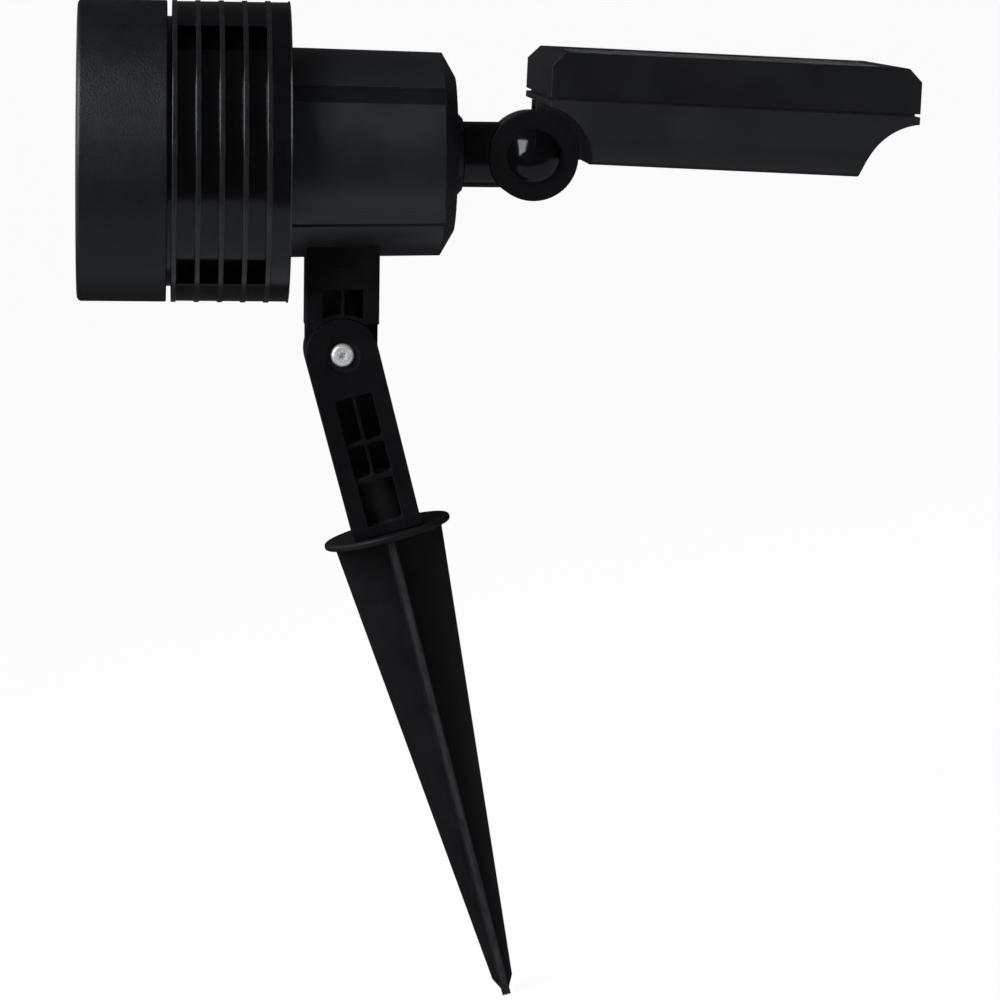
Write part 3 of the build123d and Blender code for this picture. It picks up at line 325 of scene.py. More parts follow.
class Pattern:
    """A material's nodes, from the place on the object to the shader."""

    def __init__(self, name: str) -> None:
        """Starts a material with its principled shader and the place on the object.

        Args:
            name: the material's plain name.
        """
        self.material = bpy.data.materials.new(name)
        self.material.use_nodes = True
        self.tree = self.material.node_tree
        self.shader = self.tree.nodes["Principled BSDF"]
        self.place = self.node("ShaderNodeTexCoord").outputs["Object"]

    def node(self, kind: str) -> bpy.types.Node:
        """Returns a new node of this kind."""
        return self.tree.nodes.new(kind)

    def feed(self, socket: Socket, value: Socket | float | Sequence[float]) -> None:
        """Links a socket to another's output, or sets it to a number or colour.

        Args:
            socket: the input that is fed.
            value: an output, a number, or a colour's parts.
        """
        if isinstance(value, bpy.types.NodeSocket):
            self.tree.links.new(value, socket)
        elif isinstance(value, (int, float)):
            socket.default_value = value
        else:
            wide = len(socket.default_value)
            socket.default_value = tuple(value) + (1.0,) * (wide - len(value))

    def set(self, **values: Socket | float | Sequence[float]) -> None:
        """Feeds the shader's inputs.

        Args:
            values: what each input gets, its name written with underscores for spaces.
        """
        for name, value in values.items():
            self.feed(self.shader.inputs[name.replace("_", " ")], value)

    def fed(self, name: str) -> Socket:
        """Returns what already feeds one of the shader's inputs."""
        return self.shader.inputs[name].links[0].from_socket

    def normal(self) -> Socket:
        """Returns the direction that the surface faces."""
        return self.node("ShaderNodeNewGeometry").outputs["Normal"]

    def rays(self, *kinds: str) -> Socket:
        """Finds rays of some kinds.

        Args:
            kinds: the names of the light path's outputs.

        Returns:
            1 for a ray of any of these kinds, 0 for others.
        """
        path = self.node("ShaderNodeLightPath")
        found = path.outputs[kinds[0]]
        for kind in kinds[1:]:
            found = self.maths(Sum.MAXIMUM, found, path.outputs[kind])
        return found

    def glow(self, colour: Socket | Colour, strength: Socket | float) -> Socket:
        """Gives a surface that shines by itself.

        Args:
            colour: its colour.
            strength: how bright it is, where 1 is white paper.

        Returns:
            The surface.
        """
        node = self.node("ShaderNodeEmission")
        self.feed(node.inputs[0], colour)
        self.feed(node.inputs[1], strength)
        return node.outputs[0]

    def show(self, share: Socket, other: Socket) -> None:
        """Shows another surface in place of the shader.

        Args:
            share: how much of the other surface shows.
            other: the other surface.
        """
        node = self.node("ShaderNodeMixShader")
        for socket, value in zip(node.inputs, (share, self.shader.outputs[0], other)):
            self.feed(socket, value)
        self.cover(node.outputs[0])

    def cover(self, surface: Socket) -> None:
        """Makes a surface the only one that shows."""
        self.feed(self.tree.nodes["Material Output"].inputs["Surface"], surface)

    def along(self, axes: Axes, stretch: Triple = (1.0, 1.0, 1.0)) -> Socket:
        """Gives the place along sloped axes.

        Args:
            axes: the axes to measure along.
            stretch: how far the pattern is drawn out along each of them.

        Returns:
            The place as a vector of run, side and rise.
        """
        shift = self.node("ShaderNodeVectorMath")
        shift.operation = "SUBTRACT"
        self.feed(shift.inputs[0], self.place)
        shift.inputs[1].default_value = axes.origin
        turn = self.node("ShaderNodeVectorRotate")
        turn.rotation_type = "Y_AXIS"
        turn.inputs["Angle"].default_value = -math.radians(axes.slope)
        self.feed(turn.inputs["Vector"], shift.outputs[0])
        squeeze = self.node("ShaderNodeVectorMath")
        squeeze.operation = "DIVIDE"
        self.feed(squeeze.inputs[0], turn.outputs[0])
        squeeze.inputs[1].default_value = stretch
        return squeeze.outputs[0]

    def parts(self, place: Socket) -> Parts:
        """Splits a vector.

        Args:
            place: the vector.

        Returns:
            Its run, side and rise.
        """
        split = self.node("ShaderNodeSeparateXYZ")
        self.feed(split.inputs[0], place)
        return Parts(*split.outputs)

    def radius(self, first: Socket, second: Socket) -> Socket:
        """Gives the distance from an axis.

        Args:
            first: the measure along one direction across the axis.
            second: the measure along the other.

        Returns:
            The distance.
        """
        square = self.maths(Sum.MULTIPLY, second, second)
        return self.maths(Sum.SQRT, self.maths(Sum.MULTIPLY_ADD, first, first, square))

    def noise(
        self, size: float, detail: float = 2.0, rough: float = 0.5, place: Socket | None = None
    ) -> Socket:
        """Gives cloudy noise from 0 to 1.

        Args:
            size: the size of its blotches.
            detail: how many finer layers it has.
            rough: how strong those layers are.
            place: the vector to read, or the object's own.

        Returns:
            The noise.
        """
        node = self.node("ShaderNodeTexNoise")
        self.feed(node.inputs["Vector"], place or self.place)
        node.inputs["Scale"].default_value = 1.0 / size
        node.inputs["Detail"].default_value = detail
        node.inputs["Roughness"].default_value = rough
        return node.outputs[0]

    def pebbles(self, size: float, place: Socket | None = None) -> Socket:
        """Gives rounded cells.

        Args:
            size: the size of one cell.
            place: the vector to read, or the object's own.

        Returns:
            The distance from the nearest cell's middle.
        """
        node = self.node("ShaderNodeTexVoronoi")
        node.feature = "SMOOTH_F1"
        self.feed(node.inputs["Vector"], place or self.place)
        node.inputs["Scale"].default_value = 1.0 / size
        return node.outputs["Distance"]

    def maths(
        self,
        operation: Sum,
        first: Socket | float,
        second: Socket | float = 0.0,
        third: Socket | float = 0.0,
    ) -> Socket:
        """Does one sum.

        Args:
            operation: which sum it is.
            first: its first value.
            second: its second value.
            third: its third value, where it has one.

        Returns:
            The result.
        """
        node = self.node("ShaderNodeMath")
        node.operation = operation.value
        for socket, value in zip(node.inputs, (first, second, third)):
            self.feed(socket, value)
        return node.outputs[0]

    def spread(
        self, value: Socket, low: float, high: float, to_low: float = 0.0, to_high: float = 1.0
    ) -> Socket:
        """Maps a value smoothly from one range to another and stops at its ends.

        Args:
            value: what is mapped.
            low: the value that gives to_low.
            high: the value that gives to_high.
            to_low: the first end.
            to_high: the other end.

        Returns:
            The mapped value.
        """
        node = self.node("ShaderNodeMapRange")
        node.interpolation_type = "SMOOTHSTEP"
        for socket, number in zip(node.inputs, (value, low, high, to_low, to_high)):
            self.feed(socket, number)
        return node.outputs[0]

    def blend(
        self, amount: Socket | float, first: Socket | Colour, second: Socket | Colour
    ) -> Socket:
        """Mixes two colours.

        Args:
            amount: 0 for the first colour, 1 for the second.
            first: the first colour.
            second: the second colour.

        Returns:
            The mixed colour.
        """
        node = self.node("ShaderNodeMix")
        node.data_type = "RGBA"
        for place, value in zip(MIX_INPUTS, (amount, first, second)):
            self.feed(node.inputs[place], value)
        return node.outputs[MIX_OUTPUT]

    def band(self, value: Socket, middle: float, half: float, soft: float) -> Socket:
        """Picks out one band of a value.

        Args:
            value: what is measured.
            middle: the band's middle.
            half: half of its width.
            soft: the width of its soft edge.

        Returns:
            1 in the band and 0 beyond its edge.
        """
        off = self.maths(Sum.ABSOLUTE, self.maths(Sum.SUBTRACT, value, middle))
        return self.spread(off, half, half + soft, 1.0, 0.0)

    def stripes(self, value: Socket, pitch: float, share: float, soft: float) -> Socket:
        """Gives stripes across a value.

        Args:
            value: what they are counted along.
            pitch: from one stripe to the next.
            share: how much of the pitch a stripe takes.
            soft: how much of the pitch its edge takes.

        Returns:
            1 on a stripe, 0 between.
        """
        turns = self.maths(Sum.FRACT, self.maths(Sum.DIVIDE, value, pitch))
        return self.band(turns, 0.5, share / 2, soft)

    def relief(
        self, height: Socket, depth: float, under: Socket | None = None, strength: float = 1.0
    ) -> Socket:
        """Turns a height pattern into the surface's bumps.

        Args:
            height: the pattern, 0 to 1.
            depth: how deep it goes.
            under: the normal it lies on.
            strength: how much of it shows.

        Returns:
            The normal.
        """
        node = self.node("ShaderNodeBump")
        node.inputs["Distance"].default_value = depth
        node.inputs["Strength"].default_value = strength
        self.feed(node.inputs["Height"], height)
        if under is not None:
            self.feed(node.inputs["Normal"], under)
        return node.outputs[0]

    def rounded(self, radius: float) -> Socket:
        """Rounds every sharp edge in the shading.

        Args:
            radius: the rounding's radius.

        Returns:
            The rounded normal.
        """
        node = self.node("ShaderNodeBevel")
        node.samples = 6
        node.inputs["Radius"].default_value = radius
        return node.outputs[0]

    def edges(self, rounded: Socket) -> Socket:
        """Finds the edges that a rounded normal smooths.

        Args:
            rounded: the rounded normal.

        Returns:
            1 along the edges and 0 on flat faces.
        """
        dot = self.node("ShaderNodeVectorMath")
        dot.operation = "DOT_PRODUCT"
        self.feed(dot.inputs[0], rounded)
        self.feed(dot.inputs[1], self.normal())
        return self.spread(dot.outputs["Value"], *EDGE_BEND)


# ---------------------------------------------------------------- finishes
COOL_GLOSS = (0.9, 0.94, 1.0)  # the faintly blue gloss of black plastic
CLOUD_SHARE = 0.35  # how much of the faded colour a cloud shows
SPECKLE = 0.06  # how far the flecks change the roughness in all
WORN_GAIN = 2.0  # how much paler a rubbed edge is than the faded colour
POLISH = 0.35  # how much of its grain a polished mould shows
SHARP = 0.1 * MM  # the width of a printed edge
DUSTY_GAIN, DUSTY_LIFT = 1.7, 0.01  # how much paler dusty rubber is than clean rubber


@dataclass(frozen=True)
class Finish:
    """What a surface is made of.

    Attributes:
        name: the finish's plain name.
        colour: its main colour.
    """

    name: str
    colour: Colour

    def shade(self, pattern: Pattern) -> None:
        """Fills the pattern's shader."""
        pattern.set(Base_Color=self.colour)

    def material(self) -> bpy.types.Material:
        """Gives the finish's material, made once.

        Returns:
            The material.
        """
        made = bpy.data.materials.get(self.name)
        if made is None:
            pattern = Pattern(self.name)
            self.shade(pattern)
            made = pattern.material
        return made


class Grain(Enum):
    """The mould's surface."""

    PEBBLE = "pebble"
    FINE = "fine"
    POLISHED = "polished"


@dataclass(frozen=True)
class Moulded(Finish):
    """Injection-moulded plastic.

    Attributes:
        faded: the colour of its lighter clouds and worn edges.
        rough: its roughness, from its shiniest to its dullest clouds.
        grain: the mould's surface.
        grain_size: the size of one grain.
        grain_depth: how deep the grain goes.
        cloud_size: the size of the faint clouds in its colour and gloss.
        gloss: how strongly it reflects.
        edge_radius: the rounding of its edges.
        edge_wear: how much its edges are rubbed light.
    """

    faded: Colour = (0.02, 0.021, 0.023)
    rough: tuple[float, float] = (0.34, 0.46)
    grain: Grain = Grain.FINE
    grain_size: float = 0.35 * MM
    grain_depth: float = 0.006 * MM
    cloud_size: float = 14 * MM
    gloss: float = 0.4
    edge_radius: float = 0.35 * MM
    edge_wear: float = 0.5

    def shade(self, pattern: Pattern) -> None:
        """Fills the shader with clouds, flecks, grain and rubbed edges.

        Args:
            pattern: the material's nodes.
        """
        clouds = pattern.noise(self.cloud_size, 3.0, 0.6)
        flecks = pattern.noise(self.grain_size * 9, 4.0, 0.7)
        rounded = pattern.rounded(self.edge_radius)
        patches = pattern.spread(flecks, 0.35, 0.62)
        rubbed_and_highlighted = pattern.maths(Sum.MULTIPLY, pattern.edges(rounded), patches)
        worn = pattern.maths(Sum.MULTIPLY, rubbed_and_highlighted, self.edge_wear)
        tone = pattern.maths(Sum.MULTIPLY, pattern.spread(clouds, 0.35, 0.75), CLOUD_SHARE)
        base = pattern.blend(tone, self.colour, self.faded)
        colour = pattern.blend(worn, base, tuple(WORN_GAIN * part for part in self.faded))
        dulled = pattern.spread(clouds, 0.3, 0.7, *self.rough)
        speckled = pattern.maths(Sum.MULTIPLY_ADD, flecks, SPECKLE, -SPECKLE / 2)
        rough = pattern.maths(Sum.ADD, dulled, speckled)
        pattern.set(Base_Color=colour, Roughness=rough, Normal=self.surface(pattern, rounded))
        pattern.set(Specular_IOR_Level=self.gloss, Specular_Tint=COOL_GLOSS)

    def surface(self, pattern: Pattern, rounded: Socket) -> Socket:
        """Returns the mould's grain laid over the rounded edges.

        Args:
            pattern: the material's nodes.
            rounded: the normal with rounded edges.

        Returns:
            The finished normal.
        """
        ripple = pattern.noise(self.cloud_size * 0.6, 1.0, 0.4)
        flow = pattern.relief(ripple, self.grain_depth * 2.5, rounded)
        if self.grain is Grain.PEBBLE:
            height = pattern.pebbles(self.grain_size)
        else:
            height = pattern.noise(self.grain_size, 3.0, 0.6)
        strength = POLISH if self.grain is Grain.POLISHED else 1.0
        return pattern.relief(height, self.grain_depth, flow, strength)


@dataclass(frozen=True)
class SpikeMoulded(Moulded):
    """Plastic of the ground spike, with a painted highlight along its blades' edges and painted
    light on its post.

    Attributes:
        edge_highlight_half: half the width of the painted highlight on a blade's edge.
        edge_highlight_colour: the colour of the painted highlight along the blades' edges.
        edge_highlight_rough: how much duller the painted edge is.
        wander: how far the painted edge's border wanders in all.
        post_foot: the heights between which the painted light on the post comes up.
        post_light_colour: the colour of the painted light on the post.
    """

    # painted highlight along the blades' edge faces, duller there too
    edge_highlight_half: float = 1.5 * MM
    edge_highlight_colour: Colour = (0.023, 0.0235, 0.026)
    edge_highlight_rough: float = 0.2
    wander: float = 2.4 * MM
    # painted light on the post inside the arm's window
    post_foot: tuple[float, float] = (4 * MM, 7 * MM)
    post_light_colour: Colour = (0.015, 0.015, 0.0165)

    def shade(self, pattern: Pattern) -> None:
        """Adds the painted highlight along the blades' edges and the painted light on the post.

        Args:
            pattern: the material's nodes.
        """
        super().shade(pattern)
        run, side, rise = pattern.parts(pattern.place)
        base, rough = pattern.fed("Base Color"), pattern.fed("Roughness")
        drawn = pattern.noise(1.3 * MM, 4.0, 0.65, pattern.along(UPRIGHT_AXES, (1.0, 1.0, 7.0)))
        offs = (pattern.maths(Sum.ABSOLUTE, off) for off in (run, side))
        wander = pattern.maths(Sum.MULTIPLY_ADD, drawn, self.wander, -self.wander / 2)
        across = pattern.maths(Sum.ADD, pattern.maths(Sum.MINIMUM, *offs), wander)
        near_edge = pattern.spread(across, 0.5 * MM, self.edge_highlight_half, 1.0, 0.0)
        facing = pattern.parts(pattern.normal())
        level = (pattern.band(share, 0.0, 0.02, 0.1) for share in (facing.run, facing.side))
        edge_on = pattern.maths(Sum.MAXIMUM, *level)
        blade = pattern.spread(rise, -1.0 * MM, 0.5 * MM, 1.0, 0.0)
        amount = pattern.maths(Sum.MULTIPLY, pattern.maths(Sum.MULTIPLY, near_edge, edge_on), blade)
        patches = pattern.spread(drawn, 0.3, 0.62, 0.15, 1.0)
        patchy = pattern.maths(Sum.MULTIPLY, amount, patches)
        # painted highlight along the blades' edge faces
        edge_highlighted = pattern.blend(patchy, base, self.edge_highlight_colour)
        # painted light on the post, paler than the spike's own colour
        post = pattern.spread(rise, *self.post_foot)
        pattern.set(Base_Color=pattern.blend(post, edge_highlighted, self.post_light_colour))
        pattern.set(Roughness=pattern.maths(Sum.MULTIPLY_ADD, patchy, self.edge_highlight_rough, rough))


@dataclass(frozen=True)
class ArmMoulded(Moulded):
    """Satin plastic of the arm, with painted light deep in its pockets.

    Attributes:
        pocket_half: half the width of the painted light in a pocket.
        pocket_side: the width over which the painted light ends at a pocket's sides.
        pocket_mouth: how far off the middle the pockets open.
        pocket_depth: the depth over which the painted light comes up.
        dust_and_painted_light: the colour of the painted light in the pockets.
    """

    pocket_half: float = 7.0 * MM
    pocket_side: float = 1.5 * MM
    pocket_mouth: float = 15.6 * MM
    pocket_depth: float = 2.0 * MM
    # colour of the painted light deep in the pockets
    dust_and_painted_light: Colour = (0.02, 0.02, 0.023)

    def shade(self, pattern: Pattern) -> None:
        """Adds painted light deep in the pockets, where they lie in shade.

        Args:
            pattern: the material's nodes.
        """
        super().shade(pattern)
        place = pattern.parts(pattern.place)
        mouth = self.pocket_mouth
        off = pattern.maths(Sum.ABSOLUTE, place.side)
        deep = pattern.spread(off, mouth - self.pocket_depth, mouth, 1.0, 0.0)
        within = pattern.band(place.run, 0.0, self.pocket_half, self.pocket_side)
        drift = pattern.spread(pattern.noise(5 * MM, 4.0, 0.6), 0.3, 0.7, 0.45, 1.0)
        pocket_painted_light = pattern.maths(Sum.MULTIPLY, pattern.maths(Sum.MULTIPLY, deep, within), drift)
        # painted light deep in the pockets, against their shade
        pattern.set(Base_Color=pattern.blend(pocket_painted_light, pattern.fed("Base Color"), self.dust_and_painted_light))


@dataclass(frozen=True)
class FinMoulded(Moulded):
    """Shiny plastic of the finned housing, with a painted highlight on its fins' rims.

    Attributes:
        rim: the fins' outer radius.
        rim_highlight_inset: how far inside that radius the painted highlight starts, and where it
            is full.
        rim_highlight_colour: the colour of the painted highlight on the rims.
    """

    rim: float = 51.68 * MM
    rim_highlight_inset: tuple[float, float] = (0.32 * MM, 0.12 * MM)
    # colour of the painted highlight on the fins' rims
    rim_highlight_colour: Colour = (0.0095, 0.0098, 0.011)

    def shade(self, pattern: Pattern) -> None:
        """Adds the painted highlight on the rims.

        Args:
            pattern: the material's nodes.
        """
        super().shade(pattern)
        place = pattern.parts(pattern.along(LAMP_AXES))
        radius = pattern.radius(place.side, place.rise)
        rim = pattern.spread(radius, *(self.rim - inside for inside in self.rim_highlight_inset))
        patchy = pattern.spread(pattern.noise(4 * MM, 4.0, 0.7), 0.3, 0.6, 0.5)
        # painted highlight on the fins' rims
        rubbed_and_highlighted = pattern.maths(Sum.MULTIPLY, rim, patchy)
        pattern.set(Base_Color=pattern.blend(rubbed_and_highlighted, pattern.fed("Base Color"), self.rim_highlight_colour))


@dataclass(frozen=True)
class NeckMoulded(Moulded):
    """Satin plastic of the rear housing, with painted shade in its shallow channels.

    Attributes:
        channel: the channels' first and last angle off the lamp's level, in degrees.
        channel_soft: the angle over which a channel's edge fades, in radians.
        channel_shade_colour: the colour of the painted shade in a channel.
        channel_rough: how much duller, or shinier where negative, a channel is.
    """

    channel: tuple[float, float] = (31.0, 42.0)
    channel_soft: float = 0.01
    # colour of the painted shade in the channels
    channel_shade_colour: Colour = (0.0036, 0.0038, 0.0048)
    channel_rough: float = -0.14

    def shade(self, pattern: Pattern) -> None:
        """Adds the painted shade in the channels and fine marks drawn along the lamp's axis.

        Args:
            pattern: the material's nodes.
        """
        super().shade(pattern)
        place = pattern.parts(pattern.along(LAMP_AXES))
        base, rough = pattern.fed("Base Color"), pattern.fed("Roughness")
        offs = (pattern.maths(Sum.ABSOLUTE, off) for off in (place.rise, place.side))
        lean = pattern.maths(Sum.ARCTAN2, *offs)
        first, last = map(math.radians, self.channel)
        half = (last - first) / 2 - self.channel_soft
        inside = pattern.band(lean, (first + last) / 2, half, self.channel_soft)
        drawn = pattern.noise(0.8 * MM, 3.0, 0.6, pattern.along(LAMP_AXES, (14.0, 1.0, 1.0)))
        # painted shade in the channels
        pattern.set(Base_Color=pattern.blend(inside, base, self.channel_shade_colour))
        duller = pattern.maths(Sum.MULTIPLY_ADD, inside, self.channel_rough, rough)
        pattern.set(Roughness=pattern.maths(Sum.MULTIPLY_ADD, drawn, 0.08, duller))


@dataclass(frozen=True)
class TrayMoulded(Moulded):
    """Pale-toned plastic of the panel's tray, darker on its ears round the knuckle.

    Attributes:
        ear: the ears' outer radius.
        ear_soft: the width over which their dark colour ends.
        ear_colour: the ears' colour.
    """

    ear: float = 16.2 * MM
    ear_soft: float = 1.5 * MM
    ear_colour: Colour = (0.0028, 0.0028, 0.0034)

    def shade(self, pattern: Pattern) -> None:
        """Adds the dark ears.

        Args:
            pattern: the material's nodes.
        """
        super().shade(pattern)
        place = pattern.parts(pattern.along(PANEL_AXES))
        radius = pattern.radius(place.run, place.rise)
        inside = pattern.spread(radius, self.ear, self.ear + self.ear_soft, 1.0, 0.0)
        pattern.set(Base_Color=pattern.blend(inside, pattern.fed("Base Color"), self.ear_colour))


@dataclass(frozen=True)
class Rubber(Finish):
    """Moulded rubber or silicone.

    Attributes:
        rough: its roughness.
        pore: the size of its pores.
    """

    rough: float = 0.72
    pore: float = 0.3 * MM

    def shade(self, pattern: Pattern) -> None:
        """Fills the shader with dusty clouds and fine pores.

        Args:
            pattern: the material's nodes.
        """
        dust_and_painted_light = pattern.noise(4 * MM, 4.0, 0.65)
        pale = tuple(min(1.0, DUSTY_GAIN * part + DUSTY_LIFT) for part in self.colour)
        colour = pattern.blend(pattern.spread(dust_and_painted_light, 0.45, 0.8, 0.0, 0.5), self.colour, pale)
        rough = pattern.spread(dust_and_painted_light, 0.3, 0.7, self.rough - 0.08, self.rough + 0.1)
        rounded = pattern.rounded(0.2 * MM)
        normal = pattern.relief(pattern.noise(self.pore, 2.0, 0.5), 0.02 * MM, rounded)
        pattern.set(Base_Color=colour, Roughness=rough, Normal=normal, Specular_IOR_Level=0.35)


@dataclass(frozen=True)
class Plated(Finish):
    """Bright plated steel or plated plastic.

    Attributes:
        rough: its roughness, from bright to dull patches.
        tarnish: the colour of its dull patches.
        ripple: how deep its surface waves go.
        scratch: how deep its drawn marks go.
        bare: how metallic it looks under its film.
    """

    rough: tuple[float, float] = (0.16, 0.36)
    tarnish: Colour = (0.42, 0.43, 0.44)
    ripple: float = 0.01 * MM
    scratch: float = 0.004 * MM
    bare: float = 1.0

    def shade(self, pattern: Pattern) -> None:
        """Fills the shader with plating clouds, pits and fine drawn marks.

        Args:
            pattern: the material's nodes.
        """
        clouds = pattern.noise(1.6 * MM, 4.0, 0.6)
        pits = pattern.pebbles(0.5 * MM)
        marks = pattern.noise(0.12 * MM, 2.0, 0.5, pattern.along(UPRIGHT_AXES, (1.0, 8.0, 1.0)))
        dull = pattern.spread(clouds, 0.42, 0.72)
        pitted = pattern.spread(pits, 0.12, 0.02, 0.0, 0.6)
        colour = pattern.blend(pattern.maths(Sum.MAXIMUM, dull, pitted), self.colour, self.tarnish)
        rough = pattern.spread(clouds, 0.3, 0.7, *self.rough)
        rounded = pattern.rounded(0.12 * MM)
        waves = pattern.relief(clouds, self.ripple, rounded)
        normal = pattern.relief(marks, self.scratch, waves)
        pattern.set(Base_Color=colour, Metallic=self.bare, Roughness=rough, Normal=normal)


@dataclass(frozen=True)
class ClearPane(Finish):
    """A clear glass or plastic pane that lets the lamps through.

    Attributes:
        index: its refractive index.
        smear: how rough its smears are.
        passed: the tint of the lamps' light that passes it.
    """

    index: float = 1.46
    smear: float = 0.06
    passed: Colour = (0.94, 0.95, 0.95)

    def shade(self, pattern: Pattern) -> None:
        """Fills the shader with faint smears and dust, and lets lamp light pass.

        Args:
            pattern: the material's nodes.
        """
        dust_and_painted_light = pattern.noise(9 * MM, 5.0, 0.7)
        specks = pattern.spread(pattern.noise(0.5 * MM, 2.0, 0.5), 0.68, 0.76, 0.0, 0.5)
        rough = pattern.maths(Sum.ADD, pattern.spread(dust_and_painted_light, 0.4, 0.8, 0.0, self.smear), specks)
        wave = pattern.relief(pattern.noise(22 * MM, 1.0, 0.5), 0.01 * MM)
        pattern.set(Base_Color=self.colour, Roughness=rough, Normal=wave)
        pattern.set(Transmission_Weight=1.0, IOR=self.index)
        clear = pattern.node("ShaderNodeBsdfTransparent")
        pattern.feed(clear.inputs[0], self.passed)
        pattern.show(pattern.rays("Is Shadow Ray", "Is Diffuse Ray"), clear.outputs[0])


@dataclass(frozen=True)
class SiliconCells(Finish):
    """Dark blue cell strips with fine silver lines.

    Attributes:
        flake: the colour of the paler crystals.
        crystal: the size of one crystal.
        silver: the printed lines' colour.
        finger_pitch: from one fine line to the next.
        bus_offsets: where the wide lines lie, off the panel's middle.
        bus_half: half the width of a wide line.
    """

    flake: Colour = (0.012, 0.026, 0.085)
    crystal: float = 3.2 * MM
    silver: Colour = (0.62, 0.64, 0.66)
    finger_pitch: float = 1.9 * MM
    bus_offsets: tuple[float, ...] = (9.5 * MM, 30.5 * MM)
    bus_half: float = 0.8 * MM

    def shade(self, pattern: Pattern) -> None:
        """Fills the shader with crystals, fine fingers and wide bus lines.

        Args:
            pattern: the material's nodes.
        """
        place = pattern.along(PANEL_AXES)
        side = pattern.parts(place).side
        crystals = pattern.pebbles(self.crystal, place)
        flakes = pattern.spread(crystals, 0.15, 0.55)
        base = pattern.blend(flakes, self.colour, self.flake)
        fingers = pattern.stripes(side, self.finger_pitch, 0.1, 0.05)
        away = pattern.maths(Sum.ABSOLUTE, side)
        buses = [pattern.band(away, offset, self.bus_half, SHARP) for offset in self.bus_offsets]
        bus = pattern.maths(Sum.MAXIMUM, *buses)
        printed = pattern.noise(0.4 * MM, 3.0, 0.6, place)
        fine = pattern.maths(Sum.MULTIPLY, fingers, pattern.spread(printed, 0.25, 0.5, 0.5, 0.85))
        lines = pattern.maths(Sum.MAXIMUM, fine, bus)
        pattern.set(Base_Color=pattern.blend(lines, base, self.silver))
        pattern.set(Roughness=pattern.spread(flakes, 0.0, 1.0, 0.22, 0.34))
        pattern.set(Metallic=pattern.maths(Sum.MULTIPLY, lines, 0.7), Specular_IOR_Level=0.5)
        pattern.set(Normal=pattern.relief(lines, 0.03 * MM), Coat_Weight=0.4, Coat_Roughness=0.08)


@dataclass(frozen=True)
class PrintedBoard(Finish):
    """A coated circuit board with copper tracks under its coating.

    Attributes:
        track: the colour over a track.
        pad: the bare pads' colour.
        pitch: the tracks' spacing.
        shift: how far the tracks step sideways in all.
    """

    track: Colour = (0.05, 0.2, 0.08)
    pad: Colour = (0.7, 0.62, 0.42)
    pitch: float = 2.4 * MM
    shift: float = 9 * MM

    def shade(self, pattern: Pattern) -> None:
        """Fills the shader with stepped tracks, tinned pads and weave.

        Args:
            pattern: the material's nodes.
        """
        place = pattern.along(LAMP_AXES)
        step = pattern.maths(Sum.SNAP, pattern.noise(11 * MM, 0.0, 0.0, place), 0.12)
        lane = pattern.maths(Sum.MULTIPLY_ADD, step, self.shift, pattern.parts(place).side)
        tracks = pattern.stripes(lane, self.pitch, 0.34, 0.06)
        dots = pattern.pebbles(self.pitch * 1.7, place)
        pads = pattern.spread(dots, 0.16, 0.12)
        weave = pattern.noise(0.5 * MM, 1.0, 0.5, place)
        coated = pattern.blend(tracks, self.colour, self.track)
        pattern.set(Base_Color=pattern.blend(pads, coated, self.pad))
        pattern.set(Roughness=pattern.spread(weave, 0.2, 0.8, 0.24, 0.4))
        fine = pattern.maths(Sum.MULTIPLY, weave, 0.3)
        height = pattern.maths(Sum.MULTIPLY_ADD, tracks, 0.6, fine)
        pattern.set(Normal=pattern.relief(height, 0.04 * MM))
        pattern.set(Metallic=pattern.maths(Sum.MULTIPLY, pads, 0.8))


@dataclass(frozen=True)
class WrappedCell(Finish):
    """A round battery cell in a printed shrink wrap, bare at its two ends.

    Attributes:
        steel: the bare ends' colour.
        band: the pale band's colour.
        front: the station of its front end along the lamp's axis.
        length: the cell's length.
        bare: the bare length at each end.
        band_run: from the front end to the band's middle.
        band_half: half the band's width.
    """

    steel: Colour = (0.6, 0.61, 0.62)
    band: Colour = (0.5, 0.55, 0.6)
    front: float = -38.6 * MM
    length: float = 65.2 * MM
    bare: float = 0.35 * MM
    band_run: float = 52 * MM
    band_half: float = 4 * MM

    def shade(self, pattern: Pattern) -> None:
        """Fills the shader with the wrap, its band, its wrinkles and the steel ends.

        Args:
            pattern: the material's nodes.
        """
        run = pattern.parts(pattern.along(LAMP_AXES)).run
        half = self.length / 2
        wrapped = pattern.band(run, self.front + half, half - self.bare, SHARP)
        ends = pattern.maths(Sum.SUBTRACT, 1.0, wrapped)
        printed = pattern.band(run, self.front + self.band_run, self.band_half, SHARP)
        wrinkle = pattern.noise(2.5 * MM, 3.0, 0.6, pattern.along(LAMP_AXES, (4.0, 1.0, 1.0)))
        wrap = pattern.blend(pattern.maths(Sum.MULTIPLY, printed, 0.8), self.colour, self.band)
        pattern.set(Base_Color=pattern.blend(ends, wrap, self.steel), Metallic=ends)
        pattern.set(Roughness=pattern.spread(wrinkle, 0.3, 0.7, 0.26, 0.42))
        pattern.set(Normal=pattern.relief(wrinkle, 0.05 * MM, pattern.rounded(0.3 * MM)))


